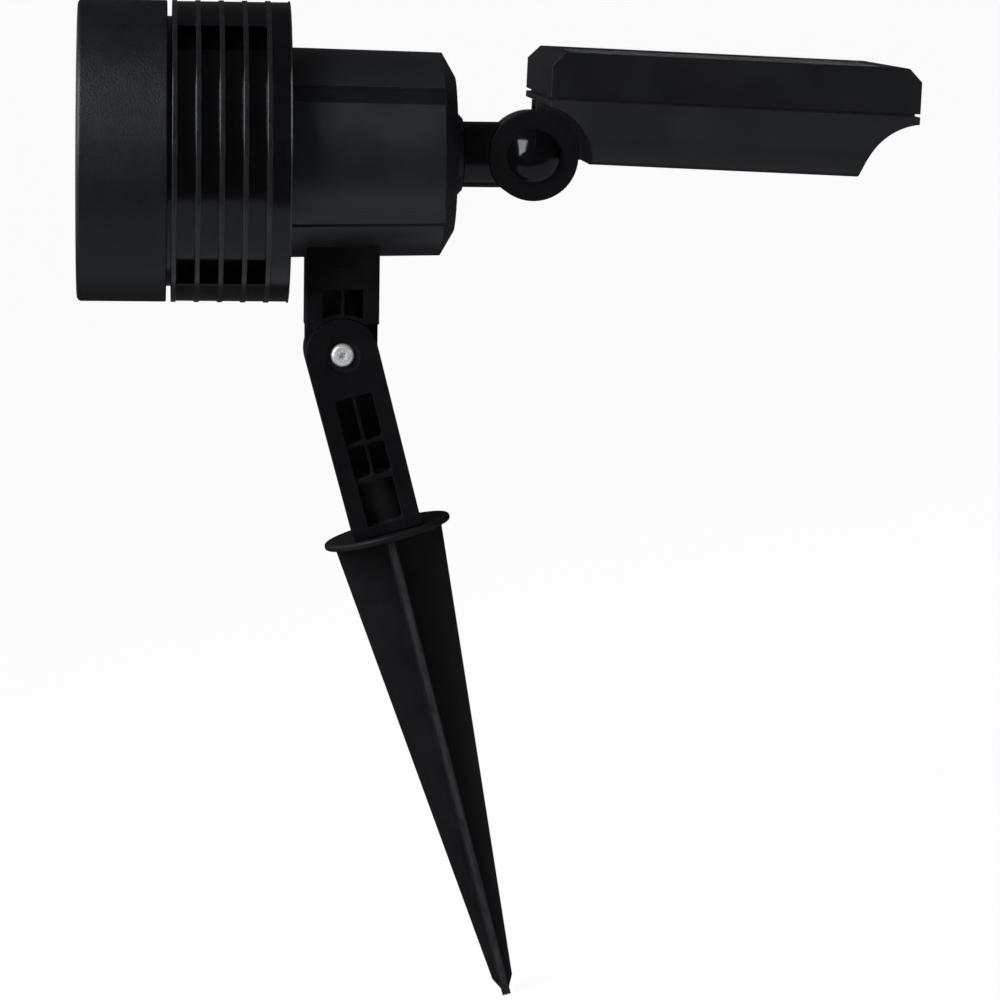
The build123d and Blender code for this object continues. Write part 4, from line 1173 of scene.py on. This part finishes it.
@dataclass(frozen=True)
class LedDome(Finish):
    """A clear dome over yellow phosphor on a white body.

    Attributes:
        grain: the colour of its deeper grains.
        body: the white body's colour.
    """

    grain: Colour = (0.95, 0.62, 0.1)
    body: Colour = (0.8, 0.79, 0.75)

    def shade(self, pattern: Pattern) -> None:
        """Fills the shader with grainy phosphor under a clear coat.

        Args:
            pattern: the material's nodes.
        """
        grains = pattern.noise(0.25 * MM, 3.0, 0.6)
        rim = pattern.spread(pattern.noise(1.5 * MM, 2.0, 0.5), 0.3, 0.75, 0.0, 0.5)
        phosphor = pattern.blend(pattern.spread(grains, 0.3, 0.7), self.colour, self.grain)
        pattern.set(Base_Color=pattern.blend(rim, phosphor, self.body))
        pattern.set(Roughness=pattern.spread(grains, 0.3, 0.7, 0.3, 0.5))
        pattern.set(Coat_Weight=1.0, Coat_Roughness=0.04)
        pattern.set(Normal=pattern.relief(grains, 0.01 * MM))


class Finishes:
    """The finishes of this object's pieces."""

    SPIKE = SpikeMoulded(
        "spike_plastic_worn",
        colour=(0.0048, 0.0048, 0.0054), faded=(0.0094, 0.0094, 0.0104), rough=(0.42, 0.56),
        grain=Grain.FINE, grain_size=0.4 * MM, grain_depth=0.008 * MM, cloud_size=18 * MM,
        gloss=0.14, edge_radius=0.35 * MM, edge_wear=0.35,
    )
    ARM = ArmMoulded(
        "arm_plastic_satin",
        colour=(0.0018, 0.0018, 0.0022), faded=(0.0042, 0.0042, 0.005), rough=(0.38, 0.5),
        grain=Grain.FINE, grain_size=0.4 * MM, grain_depth=0.006 * MM, cloud_size=12 * MM,
        gloss=0.16, edge_radius=0.3 * MM, edge_wear=0.5,
    )
    BEZEL = Moulded(
        "bezel_plastic_pebbled",
        colour=(0.0028, 0.0031, 0.0041), faded=(0.005, 0.0055, 0.0069), rough=(0.4, 0.48),
        grain=Grain.PEBBLE, grain_size=0.6 * MM, grain_depth=0.06 * MM, cloud_size=16 * MM,
        gloss=0.42, edge_radius=0.4 * MM, edge_wear=0.3,
    )
    BODY = FinMoulded(
        "body_plastic_satin",
        colour=(0.0014, 0.0014, 0.0018), faded=(0.0034, 0.0036, 0.0044), rough=(0.13, 0.2),
        grain=Grain.FINE, grain_size=0.3 * MM, grain_depth=0.003 * MM, cloud_size=18 * MM,
        gloss=0.56, edge_radius=0.5 * MM, edge_wear=0.6,
    )
    NECK = NeckMoulded(
        "neck_plastic_satin",
        colour=(0.0054, 0.0057, 0.007), faded=(0.0088, 0.0094, 0.0112), rough=(0.28, 0.36),
        grain=Grain.FINE, grain_size=0.3 * MM, grain_depth=0.004 * MM, cloud_size=22 * MM,
        gloss=0.7, edge_radius=0.45 * MM, edge_wear=0.5,
    )
    FRAME = Moulded(
        "frame_plastic_fine",
        colour=(0.003, 0.003, 0.0042), faded=(0.006, 0.006, 0.0078), rough=(0.36, 0.46),
        grain=Grain.FINE, grain_size=0.35 * MM, grain_depth=0.008 * MM, cloud_size=22 * MM,
        gloss=0.36, edge_radius=0.4 * MM, edge_wear=0.4,
    )
    TRAY = TrayMoulded(
        "tray_plastic_fine",
        colour=(0.0085, 0.0087, 0.011), faded=(0.0125, 0.0128, 0.0152), rough=(0.36, 0.46),
        grain=Grain.FINE, grain_size=0.35 * MM, grain_depth=0.008 * MM, cloud_size=22 * MM,
        gloss=0.28, edge_radius=0.4 * MM, edge_wear=0.3,
    )
    KNUCKLE = Moulded(
        "knuckle_plastic_gloss",
        colour=(0.002, 0.002, 0.0025), faded=(0.0042, 0.0042, 0.005), rough=(0.1, 0.17),
        grain=Grain.POLISHED, grain_size=0.6 * MM, grain_depth=0.003 * MM, cloud_size=7 * MM,
        gloss=0.4, edge_radius=0.3 * MM, edge_wear=0.2,
    )
    CRADLE = Moulded(
        "cradle_plastic_plain",
        colour=(0.04, 0.04, 0.042), faded=(0.06, 0.06, 0.062), rough=(0.4, 0.55),
        grain=Grain.FINE, grain_size=0.4 * MM, grain_depth=0.01 * MM, cloud_size=9 * MM,
        gloss=0.5, edge_radius=0.3 * MM, edge_wear=0.3,
    )
    WASHER = Moulded(
        "washer_plastic_plain",
        colour=(0.028, 0.028, 0.028), faded=(0.05, 0.05, 0.05), rough=(0.35, 0.5),
        grain=Grain.FINE, grain_size=0.3 * MM, grain_depth=0.01 * MM, cloud_size=4 * MM,
        gloss=0.5, edge_radius=0.15 * MM, edge_wear=0.3,
    )
    COMPONENT = Moulded(
        "component_plastic_plain",
        colour=(0.02, 0.02, 0.024), faded=(0.045, 0.045, 0.05), rough=(0.4, 0.6),
        grain=Grain.FINE, grain_size=0.25 * MM, grain_depth=0.008 * MM, cloud_size=3 * MM,
        gloss=0.5, edge_radius=0.2 * MM, edge_wear=0.3,
    )
    BUTTON = Rubber("button_rubber_matte", (0.022, 0.022, 0.024), rough=0.66)
    SEAL = Rubber("seal_rubber_matte", (0.012, 0.012, 0.013), rough=0.7)
    LEAD = Rubber("lead_rubber_red", (0.35, 0.02, 0.02), rough=0.5, pore=0.5 * MM)
    ZINC = Plated("zinc_plated_steel", (0.74, 0.75, 0.77), rough=(0.2, 0.42), bare=0.55)
    CHROME = Plated(
        "reflector_vacuum_plated", (0.7, 0.71, 0.73), rough=(0.06, 0.14),
        tarnish=(0.75, 0.76, 0.78), ripple=0.006 * MM, scratch=0.0015 * MM,
    )
    GLASS = ClearPane("lens_glass_clear", (0.97, 0.985, 0.98))
    WINDOW = ClearPane("window_pane_clear", (0.97, 0.98, 0.985), index=1.48, smear=0.12)
    CELLS = SiliconCells("silicon_cells_lined", (0.004, 0.008, 0.03))
    BOARD = PrintedBoard("driver_board_coated", (0.012, 0.08, 0.03))
    BACKING = PrintedBoard(
        "backing_board_dark", (0.01, 0.011, 0.013),
        track=(0.016, 0.017, 0.019), pad=(0.5, 0.45, 0.3), pitch=5.0 * MM,
    )
    CORE_BOARD = PrintedBoard(
        "lamp_board_white", (0.74, 0.74, 0.72),
        track=(0.66, 0.66, 0.64), pad=(0.72, 0.7, 0.62), pitch=3.2 * MM,
    )
    CELL_WRAP = WrappedCell("cell_wrap_blue", (0.02, 0.1, 0.28))
    EMITTER = LedDome("emitter_dome_yellow", (0.85, 0.72, 0.22))


def dress(finish: Finish, *nodes: str) -> None:
    """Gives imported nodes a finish.

    Args:
        finish: the finish.
        nodes: the names of the nodes that take it.
    """
    for name in nodes:
        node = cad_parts[name]
        for place in node.material_slots:
            place.material = finish.material()
        log.info("%s wears %s", name, finish.name)


# ---------------------------------------------------------------- fasteners
@dataclass(frozen=True)
class PanHead:
    """The shape of a pan head and its cross recess, as shares of the head's radius and height.

    Attributes:
        crown: how far the crown's rounding reaches down, of the height.
        foot: the rounding of the foot's edge, of the height.
        edge: the rounding of the recess's edges, of the radius.
        reach: half the recess's length, of the radius.
        width: half the recess's width, of the radius.
        depth: how deep the recess goes, of the height.
        taper: its length and width at the bottom, of those at the top.
        turn: how far the cross is turned, in radians.
    """

    crown: float = 0.62
    foot: float = 0.08
    edge: float = 0.02
    reach: float = 0.58
    width: float = 0.15
    depth: float = 0.72
    taper: tuple[float, float] = (0.36, 0.7)
    turn: float = 0.5


@dataclass(frozen=True)
class ThreadForm:
    """The shape of a screw's threaded end, as shares of the screw's own sizes.

    Attributes:
        root: the root's radius, of the shank's.
        straight: the root's straight part, of the threaded length.
        tip: the tip's radius, of the root's.
        start: how far off the tip the ridge starts, of the threaded length.
        wound: how far the ridge is wound, of the threaded length.
        crest: how far inside the shank's radius the ridge is drawn, of that radius.
        foot: the radius of the ridge's foot, of the shank's.
        size: the radius of the drawn triangle, of the pitch.
        edge: the rounding of the shank's edges, of its radius.
    """

    root: float
    straight: float
    tip: float
    start: float
    wound: float
    crest: float = 0.1
    foot: float = 0.74
    size: float = 0.42
    edge: float = 0.05


class Thread(Enum):
    """The kinds of thread: of a screw with a nut, and of one that cuts its own."""

    MACHINE = ThreadForm(root=0.86, straight=0.93, tip=0.72, start=0.06, wound=0.86)
    POINTED = ThreadForm(root=0.8, straight=0.7, tip=0.12, start=0.32, wound=0.62)


@dataclass
class CrossScrew:
    """A pan-head screw with a cross recess. Its head's seat is at the origin, its tip points to -Z.

    Attributes:
        head_radius: radius of the pan head.
        head_height: height of the pan head.
        shank_radius: radius over the thread.
        shank_length: from the seat to the tip.
        thread_length: threaded part at the tip.
        pitch: from one thread to the next.
        thread: the kind of thread.
        pan: the shape of the head.
    """

    head_radius: float
    head_height: float
    shank_radius: float
    shank_length: float
    thread_length: float
    pitch: float
    thread: Thread = Thread.MACHINE
    pan: PanHead = PanHead()

    def head(self) -> Piece:
        """Models the pan head and cuts its recess.

        Returns:
            The head, standing on the seat.
        """
        Bench.clear()
        bpy.ops.mesh.primitive_cylinder_add(
            vertices=64, radius=self.head_radius, depth=self.head_height,
            location=(0, 0, self.head_height / 2),
        )
        head = Bench.take("screw_head")
        Bench.place()
        Bench.edit(head)
        Bench.faces(head, faces_up)
        crown = self.head_height * self.pan.crown
        bpy.ops.mesh.bevel(offset=crown, segments=7, profile=0.55, affect="EDGES")
        Bench.faces(head, faces_down)
        bpy.ops.mesh.bevel(offset=self.head_height * self.pan.foot, segments=2, affect="EDGES")
        Bench.done()
        Bench.combine(head, self.recess(), Combine.CUT)
        Bench.soften(head, self.head_radius * self.pan.edge, segments=1, angle=50.0)
        return head

    def recess(self) -> Piece:
        """Models the cross that is cut into the head, narrower at its bottom.

        Returns:
            The cross, standing where it cuts.
        """
        wings = []
        for turn in (0.0, math.pi / 2):
            Bench.clear()
            bpy.ops.mesh.primitive_cube_add(size=2.0, location=(0, 0, self.head_height))
            wing = Bench.take("recess_wing")
            wing.scale = (
                self.head_radius * self.pan.reach,
                self.head_radius * self.pan.width,
                self.head_height * self.pan.depth,
            )
            Bench.place()
            Bench.edit(wing)
            Bench.faces(wing, faces_down)
            bpy.ops.transform.resize(value=(*self.pan.taper, 1.0))
            Bench.done()
            wings.append(Bench.settle(wing, Matrix.Rotation(turn + self.pan.turn, 4, "Z")))
        Bench.combine(*wings, Combine.JOIN)
        return wings[0]

    def shank(self) -> Piece:
        """Models the shank with its turned-down thread root and its tip.

        Returns:
            The shank, hanging from the seat.
        """
        form = self.thread.value
        root = self.shank_radius * form.root
        plain = self.shank_length - self.thread_length
        straight = self.thread_length * form.straight
        Bench.clear()
        bpy.ops.mesh.primitive_cylinder_add(
            vertices=40, radius=self.shank_radius, depth=plain, location=(0, 0, -plain / 2)
        )
        shank = Bench.take("screw_shank")
        Bench.place()
        Bench.edit(shank)
        Bench.faces(shank, faces_down)
        bpy.ops.mesh.inset(thickness=self.shank_radius - root, depth=0)
        for drop in (straight, self.thread_length - straight):
            bpy.ops.mesh.extrude_region_move(TRANSFORM_OT_translate={"value": (0, 0, -drop)})
        bpy.ops.transform.resize(value=(form.tip, form.tip, 1.0))
        Bench.done()
        Bench.soften(shank, self.shank_radius * form.edge, segments=1, angle=40.0)
        return shank

    def ridge(self) -> Piece:
        """Models the thread as one ridge wound round the root.

        Returns:
            The ridge.
        """
        form = self.thread.value
        crest = self.shank_radius - self.shank_radius * form.crest
        start = -(self.shank_length - self.thread_length * form.start)
        turns = int(self.thread_length * form.wound / self.pitch)
        Bench.clear()
        bpy.ops.mesh.primitive_circle_add(
            vertices=3, radius=self.pitch * form.size,
            location=(crest, 0, start), rotation=(math.pi / 2, 0, 0),
        )
        ridge = Bench.take("screw_thread")
        Bench.place()
        Bench.edit(ridge, Pick.CORNERS)
        mesh = bmesh.from_edit_mesh(ridge.data)
        for corner in mesh.verts:
            outer = corner.co.x > crest
            corner.co.x = self.shank_radius if outer else self.shank_radius * form.foot
        bmesh.update_edit_mesh(ridge.data)
        bpy.ops.object.mode_set(mode="OBJECT")
        wind = ridge.modifiers.new("wind", "SCREW")
        wind.axis = "Z"
        wind.screw_offset = self.pitch
        wind.iterations = max(1, turns)
        wind.steps = wind.render_steps = 20
        bpy.ops.object.modifier_apply(modifier=wind.name)
        Bench.edit(ridge, Pick.EDGES)
        bpy.ops.mesh.select_all(action="SELECT")
        bpy.ops.mesh.fill_holes(sides=0)
        Bench.done()
        bpy.ops.object.shade_smooth_by_angle(angle=math.radians(35))
        return ridge

    def model(self, name: str, finish: Finish) -> Piece:
        """Joins head, shank and ridge.

        Args:
            name: the screw's name.
            finish: what it is plated with.

        Returns:
            The screw at the origin.
        """
        head = self.head()
        Bench.hold(head, self.shank(), self.ridge())
        bpy.ops.object.join()
        screw = Bench.take(name)
        Bench.wear(screw, finish.material())
        return screw


# ---------------------------------------------------------------- sub-assemblies
@dataclass
class GroundSpike:
    """The spike with its flange and post."""

    def build(self) -> None:
        """Dresses the spike."""
        dress(Finishes.SPIKE, "ground_spike")


@dataclass
class TiltArm:
    """The two-part arm and its tilt screw.

    Attributes:
        pivot_height: the tilt screw's height.
        seat: where the screw's head sits, off the middle.
        screw: the tilt screw.
    """

    pivot_height: float = 66.0 * MM
    seat: float = -13.8 * MM
    screw: CrossScrew = field(
        default_factory=lambda: CrossScrew(
            head_radius=4.0 * MM, head_height=2.6 * MM, shank_radius=2.0 * MM,
            shank_length=29.9 * MM, thread_length=11.0 * MM, pitch=0.7 * MM,
        )
    )

    def build(self) -> None:
        """Dresses both halves of the arm and sets the tilt screw in its recess."""
        dress(Finishes.ARM, "lower_arm", "head_bracket")
        dress(Finishes.ZINC, "tilt_washer", "tilt_nut", "bracket_screws")
        screw = self.screw.model("tilt_cross_screw", Finishes.ZINC)
        seat = Matrix.Translation((0.0, self.seat, self.pivot_height))
        Bench.settle(screw, seat @ Matrix.Rotation(math.pi / 2, 4, "X"))
        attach(screw, "arm")
        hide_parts("tilt_screw")
        log.info("tilt screw set, %d faces", len(screw.data.polygons))


@dataclass
class LampHead:
    """The bezel, lens, reflector, finned housing and rear housing with what is inside."""

    def build(self) -> None:
        """Dresses the lamp head from its front to its back."""
        dress(Finishes.BEZEL, "front_bezel")
        dress(Finishes.GLASS, "front_lens")
        dress(Finishes.SEAL, "lens_gasket", "housing_gasket", "swivel_seal")
        dress(Finishes.CHROME, "reflector")
        dress(Finishes.CORE_BOARD, "lamp_board")
        dress(Finishes.EMITTER, "led_emitters")
        dress(Finishes.ZINC, "board_screws", "housing_screws")
        dress(Finishes.BODY, "finned_housing")
        dress(Finishes.NECK, "rear_housing")
        dress(Finishes.CELL_WRAP, "battery_cell_near", "battery_cell_far")
        dress(Finishes.CRADLE, "battery_cradle", "swivel_ring")
        dress(Finishes.BOARD, "driver_board")
        dress(Finishes.COMPONENT, "driver_parts")
        dress(Finishes.LEAD, "lamp_lead")


@dataclass
class PanelKnuckle:
    """The stub, the bolt and the domed caps that carry the panel."""

    def build(self) -> None:
        """Dresses the knuckle."""
        dress(Finishes.KNUCKLE, "knuckle_stub", "knuckle_cap_near", "knuckle_cap_far")
        dress(Finishes.ZINC, "knuckle_bolt", "knuckle_nut")
        dress(Finishes.WASHER, "knuckle_washers")


@dataclass
class SolarPanel:
    """The tray, frame, cells and switch.

    Attributes:
        stations: where the panel screws stand along the panel.
        side: how far they stand off its middle.
        seat: the height of their heads' seats.
        cell_top: height of the cells' upper face.
        cell_thickness: the cells' thickness.
        length: the run of the strips, from the first to the last.
        middle: the panel's middle.
        rows: how many strips there are along it.
        strip_gap: the gap between two strips.
        ribbon_width: width of a solder ribbon.
        ribbon_sides: where the ribbons lie off the middle.
        bridge_reach: a bridge's length, of the strips' gap.
        bridge_height: a bridge's height, of the cells' thickness.
        bridge_middle: half the part of a bridge that stands up, of the strips' gap.
        bridge_hump: how far a bridge's middle stands up, of its height.
        bridge_edge: the rounding of a bridge's edges, of its height.
        screw: the panel's screw.
    """

    stations: tuple[float, float] = (24.5 * MM, 98.0 * MM)
    side: float = 37.0 * MM
    seat: float = 2.5 * MM
    cell_top: float = 34.5 * MM
    cell_thickness: float = 0.4 * MM
    length: float = 102.3 * MM
    middle: float = 63.6 * MM
    rows: int = 8
    strip_gap: float = 0.8 * MM
    ribbon_width: float = 1.6 * MM
    ribbon_sides: tuple[float, ...] = (9.5 * MM, 30.5 * MM)
    bridge_reach: float = 0.96
    bridge_height: float = 0.6
    bridge_middle: float = 0.2
    bridge_hump: float = 0.35
    bridge_edge: float = 0.1
    screw: CrossScrew = field(
        default_factory=lambda: CrossScrew(
            head_radius=3.0 * MM, head_height=2.0 * MM, shank_radius=1.5 * MM,
            shank_length=27.2 * MM, thread_length=12.0 * MM, pitch=1.2 * MM,
            thread=Thread.POINTED,
        )
    )

    def screws(self) -> Piece:
        """Models the four screws that hold the tray to the frame.

        Returns:
            The four screws as one piece.
        """
        screw = self.screw.model("panel_screw", Finishes.ZINC)
        flip = Matrix.Rotation(math.pi, 4, "X")
        places = [
            PANEL_AXES.matrix() @ Matrix.Translation((station, way * self.side, self.seat)) @ flip
            for station in self.stations
            for way in (-1.0, 1.0)
        ]
        screws = Bench.repeat(screw, places, "panel_cross_screws")
        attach(screws, "panel")
        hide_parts("panel_screws")
        return screws

    def bridges(self) -> Piece:
        """Models the solder bridges from each cell strip to the next.

        Returns:
            The bridges as one piece.
        """
        pitch = (self.length - self.strip_gap) / self.rows
        height = self.cell_thickness * self.bridge_height
        hump_half = self.strip_gap * self.bridge_middle
        Bench.clear()
        bpy.ops.mesh.primitive_cube_add(size=1.0)
        bridge = Bench.take("cell_bridge")
        bridge.scale = (self.strip_gap * self.bridge_reach, self.ribbon_width, height)
        Bench.place()
        Bench.edit(bridge)
        bpy.ops.mesh.select_all(action="SELECT")
        bpy.ops.mesh.subdivide(number_cuts=3)
        Bench.faces(
            bridge, lambda centre, normal: faces_up(centre, normal) and abs(centre.x) < hump_half
        )
        bpy.ops.transform.translate(value=(0, 0, height * self.bridge_hump))
        Bench.done()
        Bench.soften(bridge, height * self.bridge_edge, segments=1, angle=40.0)
        rise = self.cell_top - self.cell_thickness + height / 2
        places = [
            PANEL_AXES.matrix()
            @ Matrix.Translation((self.middle + (row - self.rows / 2) * pitch, way * off, rise))
            for row in range(1, self.rows)
            for off in self.ribbon_sides
            for way in (-1.0, 1.0)
        ]
        bridges = Bench.repeat(bridge, places, "cell_bridges")
        Bench.wear(bridges, Finishes.ZINC.material())
        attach(bridges, "panel")
        return bridges

    def build(self) -> None:
        """Dresses the panel and adds its screws and solder bridges."""
        dress(Finishes.TRAY, "panel_tray")
        dress(Finishes.FRAME, "panel_frame")
        dress(Finishes.SEAL, "panel_gasket", "switch_seal")
        dress(Finishes.WINDOW, "panel_window")
        dress(Finishes.CELLS, "solar_cells")
        dress(Finishes.BACKING, "cell_backing")
        dress(Finishes.COMPONENT, "push_switch")
        dress(Finishes.BUTTON, "switch_button")
        for made in (self.screws(), self.bridges()):
            log.info("%s set, %d faces", made.name, len(made.data.polygons))


# ---------------------------------------------------------------- studio
@dataclass
class Camera:
    """The camera at the photograph's viewing angle.

    Attributes:
        azimuth: how far it stands round to the right of the near side, in degrees.
        elevation: how far above the horizon it stands, in degrees.
        roll: how far it is turned about its own axis, in degrees.
        distance: from the object to the camera.
        focal: focal length as a share of the picture's width.
        aim: the point that it looks at.
        near: the nearest distance that it shows.
        far: the farthest distance that it shows.
    """

    azimuth: float = -2.449
    elevation: float = 7.697
    roll: float = -14.29
    distance: float = 1.628706
    focal: float = 4.67968
    aim: Triple = (0.040758, 0.0, 0.001775)
    near: float = 0.05
    far: float = 60.0

    def build(self) -> None:
        """Sets the camera up and makes it the scene's own."""
        round_by, lift, roll = map(math.radians, (self.azimuth, self.elevation, self.roll))
        level = math.cos(lift)
        back = Vector((math.sin(round_by) * level, -math.cos(round_by) * level, math.sin(lift)))
        right = (-back).cross(Vector((0, 0, 1))).normalized()
        up = right.cross(-back)
        turned_right = math.cos(roll) * right + math.sin(roll) * up
        turned_up = math.cos(roll) * up - math.sin(roll) * right
        pose = Matrix((turned_right, turned_up, back)).transposed().to_4x4()
        pose.translation = Vector(self.aim) + back * self.distance
        bpy.ops.object.camera_add()
        camera = bpy.context.object
        camera.name = "photo_camera"
        camera.matrix_world = pose
        camera.data.lens = self.focal * camera.data.sensor_width
        camera.data.clip_start, camera.data.clip_end = self.near, self.far
        bpy.context.scene.camera = camera


@dataclass
class Lamp:
    """One soft area lamp.

    Attributes:
        name: its name.
        place: where it hangs.
        size: its width and height.
        level: how bright its face is, where 1 is white paper.
        aim: the point that it faces.
    """

    name: str
    place: Triple
    size: tuple[float, float]
    level: float
    aim: Triple = (0.05, 0.0, 0.08)

    def build(self) -> None:
        """Hangs the lamp, with the power that its face's brightness needs."""
        bpy.ops.object.light_add(type="AREA", location=self.place)
        lamp = bpy.context.object
        lamp.name = self.name
        lamp.data.shape = "RECTANGLE"
        lamp.data.size, lamp.data.size_y = self.size
        lamp.data.energy = self.level * math.pi * self.size[0] * self.size[1]
        lamp.rotation_mode = "QUATERNION"
        lamp.rotation_quaternion = (Vector(self.aim) - Vector(self.place)).to_track_quat("-Z", "Y")
        lamp.visible_camera = False


@dataclass
class DarkTent:
    """Dark cloth round the set and a grey sheet under it, open towards the lamp's front.

    It shows only in reflections, so that black plastic facing it stays black.

    Attributes:
        foot: its left, right, near and far sides at the floor.
        crown: its left, right, near and far sides at the top.
        height: the crown's height.
        level: how bright the walls are.
        ground_level: how bright the sheet on the ground is.
        hem: how far over the floor the sheet lies.
        turn: the heights over the floor between which the sheet turns into the walls.
    """

    foot: tuple[float, float, float, float] = (-0.7, 0.7, -0.38, 0.1)
    crown: tuple[float, float, float, float] = (-2.2, 2.3, -2.6, 2.4)
    height: float = 2.1
    level: float = 0.04
    ground_level: float = 0.33
    hem: float = 2 * MM
    turn: tuple[float, float] = (3 * MM, 30 * MM)

    def cloth(self, floor: float) -> bpy.types.Material:
        """Makes the cloth, black on the walls and grey on the ground.

        Args:
            floor: the floor's height.

        Returns:
            The cloth.
        """
        pattern = Pattern("studio_dark_cloth")
        weave = pattern.blend(pattern.noise(8 * MM, 2.0, 0.5), (0.9, 0.9, 0.94), (1.0, 1.0, 1.0))
        rise = pattern.parts(pattern.place).rise
        start, end = (floor + height for height in self.turn)
        level = pattern.spread(rise, start, end, self.ground_level, self.level)
        pattern.cover(pattern.glow(weave, level))
        return pattern.material

    def build(self, floor: float) -> None:
        """Pitches the tent on the floor.

        Args:
            floor: the floor's height.
        """
        Bench.clear()
        bpy.ops.mesh.primitive_cube_add(size=2.0)
        tent = Bench.take("studio_dark_tent")
        Bench.edit(tent)
        Bench.faces(tent, lambda centre, normal: normal.x < -FACING)
        bpy.ops.mesh.delete(type="ONLY_FACE")
        mesh = bmesh.from_edit_mesh(tent.data)
        for corner in mesh.verts:
            left, right, near, far = self.crown if corner.co.z > 0 else self.foot
            corner.co.x = right if corner.co.x > 0 else left
            corner.co.y = far if corner.co.y > 0 else near
            corner.co.z = self.height if corner.co.z > 0 else floor + self.hem
        bmesh.update_edit_mesh(tent.data)
        bpy.ops.object.mode_set(mode="OBJECT")
        Bench.wear(tent, self.cloth(floor))
        for ray in ("camera", "diffuse", "transmission", "volume_scatter", "shadow"):
            setattr(tent, f"visible_{ray}", False)


@dataclass
class Studio:
    """The floor, backdrop, dark tent and soft lamps.

    Attributes:
        floor_height: just under the spike's tip.
        reach: half the floor's width.
        bend: how far off the corner the floor starts to turn up into the backdrop.
        world_level: how strongly the surroundings light the object.
        paper_glow: how much of the paper shows as plain white.
        tent: the dark cloth round the set.
        lamps: the soft lamps.
    """

    floor_height: float = -0.1695
    reach: float = 6.0
    bend: float = 1.5
    world_level: float = 0.38
    paper_glow: float = 0.94
    tent: DarkTent = field(default_factory=DarkTent)
    lamps: tuple[Lamp, ...] = (
        Lamp("key_softbox", place=(-0.7, -0.74, 0.98), size=(0.95, 1.3), level=7.0),
        Lamp("side_strip", place=(1.25, -0.33, 0.3), size=(0.12, 0.85), level=3.0),
        Lamp("small_softbox", place=(0.405, -0.56, 0.1), size=(0.14, 0.14), level=1.6),
        Lamp("rear_softbox", place=(-1.05, 0.63, 0.68), size=(0.9, 1.0), level=1.0),
    )

    def world(self) -> None:
        """Makes the surroundings white to the eye and in reflections, and dimmer as light."""
        world = bpy.data.worlds.new("studio_room")
        bpy.context.scene.world = world
        world.use_nodes = True
        tree = world.node_tree
        path = tree.nodes.new("ShaderNodeLightPath")
        seen = path.outputs[SEEN_RAYS[0]]
        for kind in SEEN_RAYS[1:]:
            either = tree.nodes.new("ShaderNodeMath")
            either.operation = Sum.MAXIMUM.value
            tree.links.new(seen, either.inputs[0])
            tree.links.new(path.outputs[kind], either.inputs[1])
            seen = either.outputs[0]
        level = tree.nodes.new("ShaderNodeMapRange")
        level.inputs["To Min"].default_value = self.world_level
        tree.links.new(seen, level.inputs["Value"])
        background = tree.nodes["Background"]
        background.inputs["Color"].default_value = (1.0, 1.0, 1.0, 1.0)
        tree.links.new(level.outputs[0], background.inputs["Strength"])

    def paper(self) -> bpy.types.Material:
        """Makes the pale paper, which shows white and keeps the object's shadow.

        Returns:
            The paper.
        """
        pattern = Pattern("studio_paper")
        fibres = pattern.noise(60 * MM, 3.0, 0.5)
        paper = pattern.blend(fibres, (0.84, 0.84, 0.84), (0.88, 0.88, 0.88))
        pattern.set(Base_Color=paper, Roughness=0.9, Specular_IOR_Level=0.1)
        glowing = pattern.maths(Sum.MULTIPLY, pattern.rays(*SEEN_RAYS), self.paper_glow)
        pattern.show(glowing, pattern.glow((1.0, 1.0, 1.0), 1.0))
        return pattern.material

    def floor(self) -> None:
        """Models the floor and the backdrop that it turns up into."""
        Bench.clear()
        bpy.ops.mesh.primitive_plane_add(size=2 * self.reach, location=(0, 0, self.floor_height))
        floor = Bench.take("studio_floor")
        Bench.place()
        Bench.edit(floor, Pick.EDGES)
        back, low = self.reach - SLACK, self.floor_height + SLACK
        Bench.edges(floor, lambda a, b: min(a.y, b.y) > back)
        bpy.ops.mesh.extrude_region_move(TRANSFORM_OT_translate={"value": (0, 0, self.reach)})
        Bench.edges(floor, lambda a, b: min(a.y, b.y) > back and max(a.z, b.z) < low)
        bpy.ops.mesh.bevel(offset=self.bend, segments=12, affect="EDGES")
        bpy.ops.object.mode_set(mode="OBJECT")
        bpy.ops.object.shade_smooth()
        Bench.wear(floor, self.paper())

    def build(self) -> None:
        """Lays the floor, pitches the tent, hangs the lamps and lights the room."""
        self.floor()
        self.tent.build(self.floor_height)
        self.world()
        for lamp in self.lamps:
            lamp.build()
            log.info("%s hung", lamp.name)


def main() -> None:
    """Builds the camera, every sub-assembly and the studio."""
    logging.basicConfig(level=logging.INFO, format="%(name)s: %(message)s")
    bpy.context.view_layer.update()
    bpy.context.scene.view_settings.view_transform = "Standard"
    Camera().build()
    for assembly in (GroundSpike(), TiltArm(), LampHead(), PanelKnuckle(), SolarPanel()):
        assembly.build()
        log.info("%s built", type(assembly).__name__)
    Studio().build()
    bpy.context.view_layer.update()


if __name__ == "__main__":
    main()
